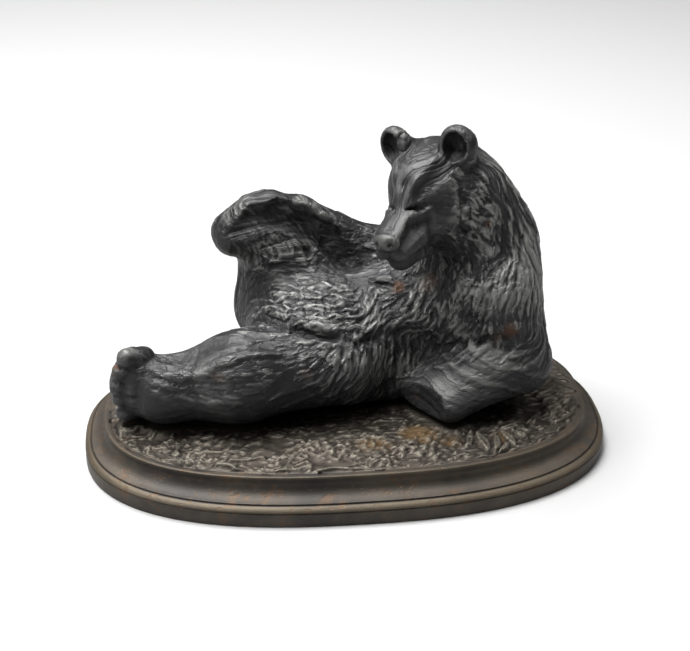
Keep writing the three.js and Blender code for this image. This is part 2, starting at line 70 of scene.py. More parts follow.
class BearSettings(bpy.types.PropertyGroup):
    fineness: FloatProperty(
        name="Fineness", description="Spacing of the points while the fur is modelled",
        default=0.00052, min=0.0003, max=0.002, unit="LENGTH", precision=5)
    fur_depth: FloatProperty(
        name="Fur depth", description="Depth of the cut locks, where 1 is as cast",
        default=1.0, min=0.0, max=2.0, subtype="FACTOR")
    triangles: IntProperty(
        name="Triangles", description="Most triangles in the finished bear",
        default=188000, min=20000, max=199000)
    iron: FloatVectorProperty(
        name="Iron", description="Colour of the rubbed patina", subtype="COLOR",
        default=(0.18, 0.18, 0.171), min=0.0, max=1.0)
    soot: FloatVectorProperty(
        name="Soot", description="Colour of the patina in the hollows", subtype="COLOR",
        default=(0.009, 0.009, 0.010), min=0.0, max=1.0)
    rust: FloatVectorProperty(
        name="Rust", description="Colour of the rust", subtype="COLOR",
        default=(0.20, 0.085, 0.03), min=0.0, max=1.0)


class BaseSettings(bpy.types.PropertyGroup):
    grid: IntProperty(
        name="Ground grid", description="Squares along each side of the modelled ground",
        default=248, min=40, max=250)
    relief: FloatProperty(
        name="Relief", description="Height of the leaves and stones, where 1 is as cast",
        default=1.0, min=0.0, max=2.0, subtype="FACTOR")
    bronze: FloatVectorProperty(
        name="Brown patina", description="Colour of the moulding", subtype="COLOR",
        default=(0.072, 0.060, 0.046), min=0.0, max=1.0)
    rubbed: FloatVectorProperty(
        name="Rubbed edge", description="Colour of the edges that hands have rubbed", subtype="COLOR",
        default=(0.105, 0.082, 0.052), min=0.0, max=1.0)


class StudioSettings(bpy.types.PropertyGroup):
    floor: FloatVectorProperty(
        name="Floor", description="Colour of the floor", subtype="COLOR",
        default=(0.42, 0.42, 0.42), min=0.0, max=1.0)
    top_light: FloatProperty(
        name="Top light", description="Power of the large light overhead",
        default=40.0, min=0.0, max=200.0, unit="POWER")
    side_light: FloatProperty(
        name="Side light", description="Power of the light at the front left",
        default=4.0, min=0.0, max=200.0, unit="POWER")
    rim_light: FloatProperty(
        name="Rim light", description="Power of the light at the right",
        default=3.5, min=0.0, max=200.0, unit="POWER")


# ---- Shader maths ----


class Wire:
    """A value in a shader that takes part in sums."""

    def __init__(self, finish, socket):
        self.finish = finish
        self.socket = socket

    def _math(self, operation, first, second=None):
        values = {0: first} if second is None else {0: first, 1: second}
        return self.finish.node("ShaderNodeMath", {"operation": operation}, values)

    def __add__(self, other):
        return self._math("ADD", self, other)

    def __radd__(self, other):
        return self._math("ADD", other, self)

    def __sub__(self, other):
        return self._math("SUBTRACT", self, other)

    def __rsub__(self, other):
        return self._math("SUBTRACT", other, self)

    def __mul__(self, other):
        return self._math("MULTIPLY", self, other)

    def __rmul__(self, other):
        return self._math("MULTIPLY", other, self)

    def __truediv__(self, other):
        return self._math("DIVIDE", self, other)

    def __pow__(self, other):
        return self._math("POWER", self, other)

    def cosine(self):
        return self._math("COSINE", self)

    def clamped(self):
        return self.finish.node("ShaderNodeClamp", {}, {"Value": self})

    def from_to(self, low, high):
        """0 below low and 1 above high."""
        settings = {"interpolation_type": "SMOOTHSTEP"}
        return self.finish.node("ShaderNodeMapRange", settings, {"Value": self, "From Min": low, "From Max": high})


class Finish:
    """A material under construction."""

    def __init__(self, name):
        self.material = bpy.data.materials.new(name)
        self.material.use_nodes = True
        self.tree = self.material.node_tree
        self.tree.nodes.clear()
        self.place = self.node("ShaderNodeTexCoord", {}, {}, "Object")

    def node(self, kind, settings, values, output=0):
        """Adds one node: its settings first, then the values or wires of its sockets."""
        node = self.tree.nodes.new(kind)
        for key, value in settings.items():
            if key == "stops":
                ramp = node.color_ramp
                while len(ramp.elements) < len(value):
                    ramp.elements.new(0.5)
                for element, (position, colour) in zip(ramp.elements, value):
                    element.position = position
                    element.color = (*colour, 1)
            else:
                setattr(node, key, value)
        for key, value in values.items():
            socket = node.inputs[key]
            if isinstance(value, Wire):
                self.tree.links.new(value.socket, socket)
            else:
                socket.default_value = value
        return Wire(self, node.outputs[output])

    def point_value(self, name):
        return self.node("ShaderNodeAttribute", {"attribute_name": name}, {}, "Fac")

    def noise(self, scale, detail=4.0, roughness=0.55, stretch=None):
        place = self.place
        if stretch is not None:
            place = self.node("ShaderNodeMapping", {}, {"Vector": place, "Scale": stretch})
        values = {"Vector": place, "Scale": scale, "Detail": detail, "Roughness": roughness}
        return self.node("ShaderNodeTexNoise", {}, values, "Fac")

    def flat_noise(self, x, y, detail=2.0):
        """Noise over two measures."""
        place = self.node("ShaderNodeCombineXYZ", {}, {"X": x, "Y": y})
        values = {"Vector": place, "Scale": 1.0, "Detail": detail, "Roughness": 0.5}
        return self.node("ShaderNodeTexNoise", {"noise_dimensions": "2D"}, values, "Fac")

    def absolute(self, value):
        return value._math("ABSOLUTE", value)

    def mix(self, share, first, second):
        """Mixes two colours."""
        values = {0: share}
        for index, colour in ((6, first), (7, second)):
            values[index] = colour if isinstance(colour, Wire) else (*colour, 1)
        return self.node("ShaderNodeMix", {"data_type": "RGBA"}, values, 2)

    def bump(self, height, distance, strength=1.0):
        values = {"Height": height, "Distance": distance, "Strength": strength}
        return self.node("ShaderNodeBump", {}, values, "Normal")

    def metal(self, colour, roughness, metallic, normal, specular=0.5):
        values = {"Base Color": colour, "Roughness": roughness, "Metallic": metallic,
                  "Normal": normal, "Specular IOR Level": specular}
        shader = self.node("ShaderNodeBsdfPrincipled", {}, values)
        return self.show(shader)

    def show(self, shader):
        """Ends the material with its shader."""
        node = self.tree.nodes.new("ShaderNodeOutputMaterial")
        self.tree.links.new(shader.socket, node.inputs["Surface"])
        return self.material


# ---- Modelling helpers ----


def new_object(name, mesh):
    obj = bpy.data.objects.new(name, mesh)
    bpy.context.scene.collection.objects.link(obj)
    return obj


def apply_modifiers(obj):
    """Makes what the modifiers give the object's own mesh."""
    graph = bpy.context.evaluated_depsgraph_get()
    mesh = bpy.data.meshes.new_from_object(obj.evaluated_get(graph))
    old = obj.data
    obj.modifiers.clear()
    obj.data = mesh
    bpy.data.meshes.remove(old)


def shade_smooth(mesh):
    mesh.polygons.foreach_set("use_smooth", np.ones(len(mesh.polygons), bool))
    mesh.update()


def smoothstep(value, low, high):
    share = np.clip((value - low) / (high - low), 0, 1)
    return share * share * (3 - 2 * share)


def unit(vectors):
    return vectors / np.maximum(np.linalg.norm(vectors, axis=-1, keepdims=True), 1e-9)


class Clay:
    """The points of a piece while it is modelled, in millimetres from a given origin."""

    def __init__(self, obj, origin):
        self.mesh = obj.data
        self.origin = np.array(origin, float)
        flat = np.empty(len(self.mesh.vertices) * 3, np.float32)
        self.mesh.vertices.foreach_get("co", flat)
        self.points = flat.reshape(-1, 3).astype(float) / MM - self.origin
        ends = np.empty(len(self.mesh.edges) * 2, np.int32)
        self.mesh.edges.foreach_get("vertices", ends)
        self.starts, self.ends = ends[0::2], ends[1::2]
        self.valence = self._gather(np.ones(len(self.points)))

    def _gather(self, values):
        """Sum of each point's neighbours."""
        count = len(self.points)
        return (np.bincount(self.starts, values[self.ends], count)
                + np.bincount(self.ends, values[self.starts], count))

    def averaged(self, values, rounds):
        """A value of each point, evened out over its neighbours."""
        for _ in range(rounds):
            values = 0.5 * values + 0.5 * self._gather(values) / self.valence
        return values

    def smooth(self, rounds, share=0.5):
        """Evens the surface out. share may be one for each point."""
        for _ in range(rounds):
            middle = np.stack([self._gather(self.points[:, axis]) for axis in range(3)], 1)
            step = middle / self.valence[:, None] - self.points
            self.points += step * (share if np.isscalar(share) else share[:, None])

    def write(self):
        flat = ((self.points + self.origin) * MM).astype(np.float32).ravel()
        self.mesh.vertices.foreach_set("co", flat)
        self.mesh.update()

    def normals(self):
        self.write()
        flat = np.empty(len(self.points) * 3, np.float32)
        self.mesh.vertex_normals.foreach_get("vector", flat)
        return flat.reshape(-1, 3).astype(float)

    def note(self, name, values):
        """Keeps a value of each point for the material."""
        layer = self.mesh.attributes.get(name) or self.mesh.attributes.new(name, "FLOAT", "POINT")
        layer.data.foreach_set("value", values.astype(np.float32))


class Neighbourhood:
    """Finds points by where they are, sorted into cubes."""

    def __init__(self, points, cube=4.0):
        self.cube = cube
        self.low = points.min(0) - cube
        cells = np.floor((points - self.low) / cube).astype(np.int64)
        self.size = cells.max(0) + 3
        codes = self._code(cells[:, 0], cells[:, 1], cells[:, 2])
        self.order = np.argsort(codes, kind="stable")
        self.codes = codes[self.order]

    def _code(self, i, j, k):
        return (i * self.size[1] + j) * self.size[2] + k

    def inside(self, low, high):
        first = np.maximum(np.floor((low - self.low) / self.cube).astype(int), 0)
        last = np.minimum(np.floor((high - self.low) / self.cube).astype(int), self.size - 1)
        if (last < first).any():
            return self.order[:0]
        i, j = np.meshgrid(np.arange(first[0], last[0] + 1), np.arange(first[1], last[1] + 1))
        starts = np.searchsorted(self.codes, self._code(i, j, first[2]).ravel(), "left")
        ends = np.searchsorted(self.codes, self._code(i, j, last[2]).ravel(), "right")
        runs = [self.order[s:e] for s, e in zip(starts, ends) if e > s]
        return np.concatenate(runs) if runs else self.order[:0]


def along_path(points, path):
    """Distance from each point to a path, its share along the path, and the nearest place on it."""
    best = np.full(len(points), np.inf)
    share = np.zeros(len(points))
    place = np.zeros((len(points), 3))
    lengths = np.linalg.norm(np.diff(path, axis=0), axis=1)
    done, total = 0.0, max(lengths.sum(), 1e-9)
    for start, end, length in zip(path[:-1], path[1:], lengths):
        step = end - start
        t = np.clip((points - start) @ step / max(length * length, 1e-9), 0, 1)
        near = start + t[:, None] * step
        gap = np.linalg.norm(points - near, axis=1)
        closer = gap < best
        best[closer] = gap[closer]
        share[closer] = ((done + t * length) / total)[closer]
        place[closer] = near[closer]
        done += length
    return best, share, place


def curve_through(points, steps=6):
    """A smooth path through a few points."""
    points = np.array(points, float)
    if len(points) < 3:
        return points
    padded = np.vstack([2 * points[0] - points[1], points, 2 * points[-1] - points[-2]])
    path = []
    for a, b, c, d in zip(padded[:-3], padded[1:-2], padded[2:-1], padded[3:]):
        for t in np.arange(steps) / steps:
            path.append(0.5 * (2 * b + (c - a) * t + (2 * a - 5 * b + 4 * c - d) * t ** 2
                               + (3 * b - a - 3 * c + d) * t ** 3))
    return np.array(path + [points[-1]])


def press(clay, places, normals, path, width, depth, ends=1.0, crisp=1.0):
    """Presses a groove into the clay along a path, or raises a ridge where depth is below zero."""
    path = curve_through(path)
    margin = np.array([width, width, width])
    near = places.inside(path.min(0) - margin, path.max(0) + margin)
    if len(near) == 0:
        return
    gap, share, _ = along_path(clay.points[near], path)
    taper = 1.0 if ends >= 1 else ends + (1 - ends) * np.sin(np.pi * np.clip(share, 0.02, 0.98)) ** 0.6
    fall = np.clip(1 - (gap / (width * taper)) ** 2, 0, 1) ** (1.5 / crisp)
    clay.points[near] -= normals[near] * (depth * taper * fall)[:, None]


# ---- Forms of the bear ----

# The head has a frame of its own: forward along the muzzle, left, and up.
HEAD_CENTRE = np.array([40.5, 4.0, 101.0])
HEAD_YAW = math.radians(36)
HEAD_NOD = math.radians(10)
HEAD_TILT = math.radians(11)


def turned(vector, axis, angle):
    return Matrix.Rotation(angle, 3, axis) @ vector


def head_axes():
    forward = Vector((-math.sin(HEAD_YAW), -math.cos(HEAD_YAW), 0))
    left = Vector((0, 0, 1)).cross(forward)
    forward = turned(forward, left, HEAD_NOD)
    left = turned(left, forward, HEAD_TILT)
    return np.array([forward, left, forward.cross(left)])


HEAD_AXES = head_axes()


def on_head(forward, left, up):
    return HEAD_CENTRE + np.array([forward, left, up]) @ HEAD_AXES


def facing(x, y, z):
    """Three axes, the first of them the given direction."""
    turn = Vector((1, 0, 0)).rotation_difference(Vector((x, y, z)).normalized())
    return np.array(turn.to_matrix()).T


class Form:
    """A rounded form that melts into what it joins. Its distance is below zero inside."""

    def __init__(self, melt, low, high, cut=False):
        self.melt, self.low, self.high, self.cut = melt, np.array(low), np.array(high), cut


class Limb(Form):
    """A tapering limb between two joints."""

    def __init__(self, start, start_radius, end, end_radius, melt, cut=False):
        self.start, self.end = np.array(start, float), np.array(end, float)
        self.radii = (start_radius, end_radius)
        reach = max(self.radii)
        super().__init__(melt, np.minimum(self.start, self.end) - reach, np.maximum(self.start, self.end) + reach, cut)

    def distance(self, points):
        along = self.end - self.start
        square = along @ along
        step = self.radii[0] - self.radii[1]
        slope = square - step * step
        off = points - self.start
        h = off @ along
        g = h - square
        side = off * square - along * h[:, None]
        side = (side * side).sum(1)
        start_gap, end_gap = h * h * square, g * g * square
        k = np.sign(step) * step * step * side
        middle = (np.sqrt(side * slope / square) + h * step) / square - self.radii[0]
        by_start = np.sqrt(side + start_gap) / square - self.radii[0]
        by_end = np.sqrt(side + end_gap) / square - self.radii[1]
        result = np.where(np.sign(h) * slope * start_gap < k, by_start, middle)
        return np.where(np.sign(g) * slope * end_gap > k, by_end, result)


class Mass(Form):
    """A rounded mass with three radii along its own axes."""

    def __init__(self, centre, radii, melt, axes=None, cut=False):
        self.centre, self.radii = np.array(centre, float), np.array(radii, float)
        self.axes = np.eye(3) if axes is None else axes
        reach = max(radii)
        super().__init__(melt, self.centre - reach, self.centre + reach, cut)

    def distance(self, points):
        local = (points - self.centre) @ self.axes.T / self.radii
        near = np.linalg.norm(local, axis=1)
        slope = np.linalg.norm(local / self.radii, axis=1)
        return near * (near - 1) / np.maximum(slope, 1e-6)


def skin_distance(forms, points):
    """Distance from each point to the skin: every form melted into the ones before it."""
    result = np.full(len(points), 30.0)
    for form in forms:
        reach = form.melt + 4.0
        near = np.flatnonzero(((points > form.low - reach) & (points < form.high + reach)).all(1))
        if len(near) == 0:
            continue
        sign = -1.0 if form.cut else 1.0
        before = sign * result[near]
        here = form.distance(points[near])
        corner = np.maximum(form.melt - np.abs(before - here), 0) / form.melt
        result[near] = sign * (np.minimum(before, here) - corner * corner * form.melt * 0.25)
    return result


def settle(clay, forms, rounds=3):
    """Moves the points on to the skin of the forms."""
    probe = 0.25
    for _ in range(rounds):
        gap = skin_distance(forms, clay.points)
        slope = np.stack([(skin_distance(forms, clay.points + probe * axis) - gap) / probe for axis in np.eye(3)], 1)
        step = np.clip(gap / np.maximum((slope * slope).sum(1), 0.3), -1.2, 1.2)
        free = smoothstep(clay.points[:, 2], 0.1, 1.2)
        clay.points -= slope * (step * free)[:, None]


def torso():
    return [
        Mass((-15, 16, 26), (30, 27, 27), 12),  # hips
        Mass((5, 13, 29), (35, 24, 25), 12),  # belly
        Mass((38, 11, 33), (32, 25, 29), 14),  # chest
        Mass((64, 13, 44), (28, 31, 38), 14),  # back
        Limb((64, 9, 73), 25.5, (53, 8, 94.5), 23, 12),  # neck
        Limb((24, 0, 10), 14, (0, -3, 12), 13, 8),  # lower flank
        Limb((16, -21, 33), 5, (33, -19, 31), 8, 6, cut=True),  # hollow below the ribs
        Limb((33, -19, 31), 8, (50, -21, 29), 5, 6, cut=True),
    ]


def near_hind_leg():
    toes = [(34.0, -104.5), (27.4, -107), (20.2, -108.5), (13.0, -108), (6.0, -106.5)]  # height and tip
    return [
        Limb((-4, -6, 23), 21, (-50, -15, 20), 19.5, 9),
        Limb((-50, -15, 20), 19.5, (-84, -15, 15), 14, 8),
        Limb((-84, -15, 15), 14, (-97, -10, 16), 12, 6),
        Mass((-98, -8, 17), (8, 13, 16), 5),
        Limb((-86, -14, 20), 9, (-96, -13, 26.5), 7, 5),  # instep, up to the topmost toe
        *[Limb((-93, -12, 0.8 * z + 3), 5.6, (tip + 4.4, -17.5, z), 4.4, 0.8) for z, tip in toes],
        Limb((-96.5, -24, 34), 2.6, (-97.5, -28, 8), 3.6, 1.2, cut=True),  # crease behind the toes
    ]


def far_hind_leg():
    return [
        Limb((-8, 32, 28), 22, (-31, 40, 28), 17, 12),
        Limb((-31, 40, 28), 17, (-33, 37, 58), 14.5, 9),
        Limb((-11, 31, 42), 17, (-33, 34, 72), 13, 8),  # shin, folded back over the thigh
        Mass((-45, 33, 71), (14, 11, 9), 7, facing(-0.75, 0, -0.66)),  # heel and instep
        Limb((-51, 32, 72), 8.5, (-41, 31, 82.5), 7, 6),
        *[Limb((-42, 31 + y, 82), 4.6, (-34, 30 + y, 85.5), 4, 2.0) for y in (-7, -2, 3, 8)],
    ]


def far_arm():
    elbow, wrist = (14, 34, 59), (-18, 33, 80)
    gap = [((-48, 20.5, 76), 3.4), ((-40, 21, 82.5), 5.2), ((-28, 23, 83), 6.0), ((-17, 25, 78), 6.4),
           ((-6, 25, 69), 6.0), ((3, 22.5, 60), 4.0)]
    return [
        Limb((40, 28, 58), 15, elbow, 9.5, 8),
        Limb(elbow, 9.5, wrist, 7, 6),
        Limb(wrist, 7, (-30, 31, 85), 6, 4),
        *[Limb((-30, 31 + y, 86), 4, (-40 + i * 2, 29 + y, 86), 3.4, 1.6) for i, y in enumerate((-6, -1.5, 3))],
        *[Limb(a, ra, b, rb, 2.6, cut=True) for (a, ra), (b, rb) in zip(gap, gap[1:])],  # below the arm
    ]


def near_arm():
    return [
        Limb((68, -7, 56), 19, (80, -13, 21), 14, 12),
        Limb((80, -13, 18.5), 13, (60, -19, 17), 11.5, 8),
        Limb((33, -15.5, 8.5), 7.4, (70, -13, 24), 16.5, 4),  # forearm, its upper side broad and flat
        Limb((45, -31, 8), 6.8, (76, -18, 21), 12.5, 4),
        Limb((36, -20, 8.5), 7.6, (46, -30, 8), 7.2, 3),
        Limb((42, -24, 10), 8, (66, -18, 21), 13.5, 5),
        Mass((28.8, -31.7, 9), (9, 21, 22), 0.9, facing(-0.8, -0.58, 0.06), cut=True),  # blunt end of the paw
        *[Limb((31 + 4.1 * i, -21.5 - 5.5 * i, 16), 0.9, (30 + 4.1 * i, -22.5 - 5.5 * i, 1), 1.3, 0.9, cut=True)
          for i in range(4)],  # between the toes
    ]


def ear(side):
    middle = on_head(-1, side * 16 + 1.4, 22 if side > 0 else 21)
    opening = facing(1, 0 if side > 0 else -0.35, 0.1) @ HEAD_AXES
    mouth = middle + np.array([5.2, 0, 0.3]) @ opening
    return [
        Limb(on_head(-6, side * 11, 11), 9, on_head(-3, side * 14.5, 18), 7, 4),
        Mass(middle, (6, 8.8, 9), 2.5, opening),
        Mass(mouth, (8.4, 5.9, 6.9), 0.8, opening, cut=True),
    ]


def chain(stops, melt, cut=False):
    """Limbs joined end to end through places on the head, each given with its radius."""
    return [Limb(on_head(*a), ra, on_head(*b), rb, melt, cut) for (a, ra), (b, rb) in zip(stops, stops[1:])]


def mirrored(stops, side):
    return [((forward, side * left, up), radius) for (forward, left, up), radius in stops]


def head():
    forms = [
        Mass(on_head(-2, 1, 0), (24, 20.5, 22.5), 8, HEAD_AXES),  # skull
        Mass(on_head(9, 0, 8), (14.5, 13.5, 12), 6, HEAD_AXES),  # forehead
        Mass(on_head(2, 12, -9), (16, 12, 16), 7, HEAD_AXES),  # left cheek
        Mass(on_head(2, -9, -9), (16, 10, 16), 7, HEAD_AXES),  # right cheek
        Limb(on_head(14, 0, -4.5), 11.4, on_head(32, 0, -5.4), 8.6, 6),  # muzzle
    ]
    brow = [((24.6, 0.6, 5.8), 2.6), ((22.2, 3.4, 8.8), 2.8), ((17.6, 6.6, 12.2), 3.0), ((8, 9, 15.5), 3.4)]
    temple = [((28.9, 8.0, 10.4), 2.8), ((27.4, 12.0, 13.2), 8.2), ((22.0, 15.6, 17.0), 8.8), ((12.8, 18.9, 20.3), 8.8)]
    mouth = [((47.5, 0, -9.6), 0.7), ((44.2, 4.6, -10.0), 0.9), ((39, 7.4, -10.8), 1.0), ((31, 9.6, -12), 1.1),
             ((25, 11.6, -11.2), 1.2), ((20.5, 13.4, -8.6), 0.8)]
    socket = [((28.8, 3.4, 4.8), 1.1), ((25.4, 7.4, 4.9), 1.9), ((21.6, 11.6, 5.2), 1.1)]
    upper_lid = [((26.0, 3.9, 5.7), 0.8), ((23.3, 6.7, 6.6), 1.0), ((19.4, 10.2, 6.4), 0.9)]
    lower_lid = [((25.8, 4.4, 3.9), 0.7), ((23.2, 7.0, 3.1), 0.8), ((19.4, 10.3, 3.9), 0.7)]
    cheek = [((7, 19.3, 12), 1.0), ((10.4, 22.0, 1), 1.4), ((14.3, 20.8, -11.5), 1.6), ((20, 14.5, -14.5), 1.2)]
    ruff = [((-4, 17, 10), 5.0), ((-4, 19.5, 0), 5.4), ((0, 20.5, -12), 5.4), ((4, 17, -22), 5.0)]
    for side in (1, 0, -1):
        forms += chain(mirrored([((22, 3.6, 0.4), 7.8), ((41, 3.0, -1.5), 5.0)], side), 1.6)  # flat top of the muzzle
    for side in (1, -1):
        forms += [
            *chain(mirrored([((30, 4.4, -6.4), 6.2), ((42.4, 3.4, -7.2), 4.7)], side), 2.0),  # upper lip
            *chain(mirrored([((27.5, 13.5, 0.5), 5.0), ((34, 10.0, 1.0), 4.4), ((43, 8.4, -2.2), 3.0)], side), 1.5,
                   cut=True),  # side of the muzzle
            *chain(mirrored(brow, side), 4),
            *chain(mirrored(temple, side), 1.2, cut=True),
        ]
    forms += chain([((13, 0, -14), 10.2), ((38, 0, -13), 5.6)], 1.5)  # lower jaw
    forms.append(Mass(on_head(45.2, 0, -0.9), (3.8, 6.6, 4.2), 0.5, HEAD_AXES))  # nose
    for side in (1, -1):
        forms += [
            *chain(mirrored(socket, side), 0.9, cut=True),
            Mass(on_head(22.3, side * 6.2, 4.8), (2.4, 2.4, 2.0), 0.3, HEAD_AXES),  # eye
            *chain(mirrored(upper_lid, side), 0.6),
            *chain(mirrored(lower_lid, side), 0.8),
            Mass(on_head(48.2, side * 3.4, -0.8), (1.7, 1.3, 0.9), 0.6, HEAD_AXES, cut=True),  # nostril
            Limb(on_head(47, side * 5.6, -1.4), 0.6, on_head(45.5, side * 6.4, -3.4), 0.4, 0.5, cut=True),
            *chain(mirrored(mouth, side), 0.8, cut=True),
            *ear(side),
        ]
    forms += chain(cheek, 3, cut=True)
    forms += chain(ruff, 6)
    forms += [
        Mass(on_head(1.5, -8.4, 24), (4, 2.4, 4.4), 1.0, HEAD_AXES, cut=True),  # notch behind the far ear
        Limb(on_head(48.6, 0, -3.6), 0.6, on_head(46.5, 0, -9), 0.6, 0.6, cut=True),  # furrow below the nose
    ]
    return forms


# Folds and ridges finer than the forms: width, depth, and the line that they follow.
# A depth below zero raises a ridge.
FOLDS = [
    (3.6, -1.5, [(-90, -20, 29), (-83, -24, 28), (-74, -26, 28.5), (-65, -28, 31), (-58, -28, 35), (-50, -28, 37),
                 (-40, -26, 37.5), (-27, -26, 36)]),
    (7.0, 1.6, [(-84, -15, 31), (-70, -18, 33.5), (-58, -18, 37), (-48, -20, 39)]),
    (7.0, 1.3, [(-84, -28, 21), (-70, -31, 22), (-56, -34, 25), (-42, -33, 28)]),
    (3.6, 2.6, [(-40, 5, 38), (-33, -8, 41), (-24, -14, 41.5), (-13, -17.5, 40.5), (-4, -19, 39), (4, -20, 36)]),
    (3.2, -1.3, [(-38, 7, 43), (-26, -6, 44), (-13, -14, 43), (-2, -14, 43), (8, -14, 41.5), (17, -10, 42)]),
    (4.0, 2.4, [(3, -20, 37), (12, -15.5, 37), (22, -13.5, 38), (31, -13.5, 41)]),
    (3.4, 2.6, [(12, 6, 56), (18, 2, 56.5), (23, -2, 55)]),
    (3.4, 2.2, [(-17, 21, 66), (-13, 21, 62)]),
    (3.2, -1.6, [(-18, 26, 77), (-12, 25, 67), (-3, 19, 57)]),
    (3.0, 1.4, [(-47, 30, 55), (-48, 35, 42), (-49, 34, 29)]),
    (2.0, -1.3, [(26, -16, 17), (31, -20, 17.5), (35, -29, 18.5), (40, -34.5, 17.5), (45, -38, 14)]),
    (2.6, 1.6, [(57, -20, 33), (62, -24, 38.5), (68, -26, 41), (75, -26.5, 42)]),
    (3.4, -1.2, [(55, -20, 38), (61, -24, 43), (69, -26, 46), (77, -26, 46)]),
    (2.2, 1.1, [(38, -4, 122), (32, -8, 117), (26, -12, 112), (23, -16, 106)]),  # furrow of the forehead
    (1.9, 1.3, [on_head(41.2, 6.8, -3), on_head(41.0, 4.8, 1), on_head(41.0, 0, 2.4), on_head(41.0, -4.8, 1)]),
    *[(2.0, 1.5, [(-96, -23.5, z), (tip + 2, -22, z), (tip - 0.6, -17, z), (tip + 1, -12, z)])
      for z, tip in [(30.7, -105), (23.8, -107.5), (16.6, -108), (9.5, -107)]],  # between the toes
]


# Painted shade in the hollows, creases and under the limbs: reach, strength, and the line that it follows.
PAINTED_SHADE_LINES = [
    (8.5, 1.0, [(-46, 20, 76), (-40, 21, 81), (-28, 22, 82), (-17, 23, 77), (-6, 22, 68), (4, 20, 60)]),
    (4.5, 0.8, [(-40, 5, 38), (-33, -8, 41), (-13, -17.5, 40), (4, -20, 36), (22, -13, 38), (31, -13, 41)]),
    (5.0, 1.0, [(-96, -24, 34), (-97, -28, 20), (-98, -27, 8)]),
    (8.5, 0.95, [on_head(44, 0, -15), on_head(34, 0, -20), on_head(18, 6, -27), on_head(4, 14, -28)]),
    (3.2, 1.0, [on_head(2.5, -8.4, 26), on_head(2.5, -8.4, 21)]),
    *[(1.7, 1.0, [(-96, -23, z), (-103, -22, z), (-108, -17, z), (-107, -10, z)])
      for z in (30.7, 23.8, 16.6, 9.5)],  # between the toes
    (3.0, 0.6, [on_head(28, 3.4, 5), on_head(24, 8, 5), on_head(19, 11, 5)]),
    (6.0, 1.0, [on_head(2, 16.5, 22), on_head(0, 16.5, 22.5)]),
    (6.0, 1.0, [on_head(2, -17, 21), on_head(0, -17, 21.5)]),
    (6.0, 0.8, [(25, -3, 55), (18, 2, 57), (12, 6, 57)]),
    (9.0, 0.8, [(0, -26, 8), (18, -20, 8), (34, -12, 8), (44, -12, 24)]),
]


# ---- The bear ----

# How the fur is cut in each kind of place: length, width and depth of a lock, its curl, the depth of
# the broad tufts below the locks, and the depth of the fine strands on them.
CUTS = {
    "bare": (6.0, 1.8, 0.00, 0.0, 0.0, 0.5),
    "face": (7.0, 1.8, 0.10, 0.10, 0.0, 0.55),
    "sleek": (11.0, 2.0, 0.34, 0.24, 0.25, 0.9),
    "streak": (13.0, 2.4, 0.85, 0.28, 0.9, 1.5),
    "wavy": (12.0, 2.2, 0.65, 0.42, 0.5, 1.2),
    "ruff": (12.0, 2.4, 1.00, 0.55, 0.8, 1.3),
    "shag": (12.0, 3.0, 1.40, 0.70, 1.2, 1.3),
    "swirl": (12.0, 2.5, 1.00, 0.40, 0.9, 1.3),
}

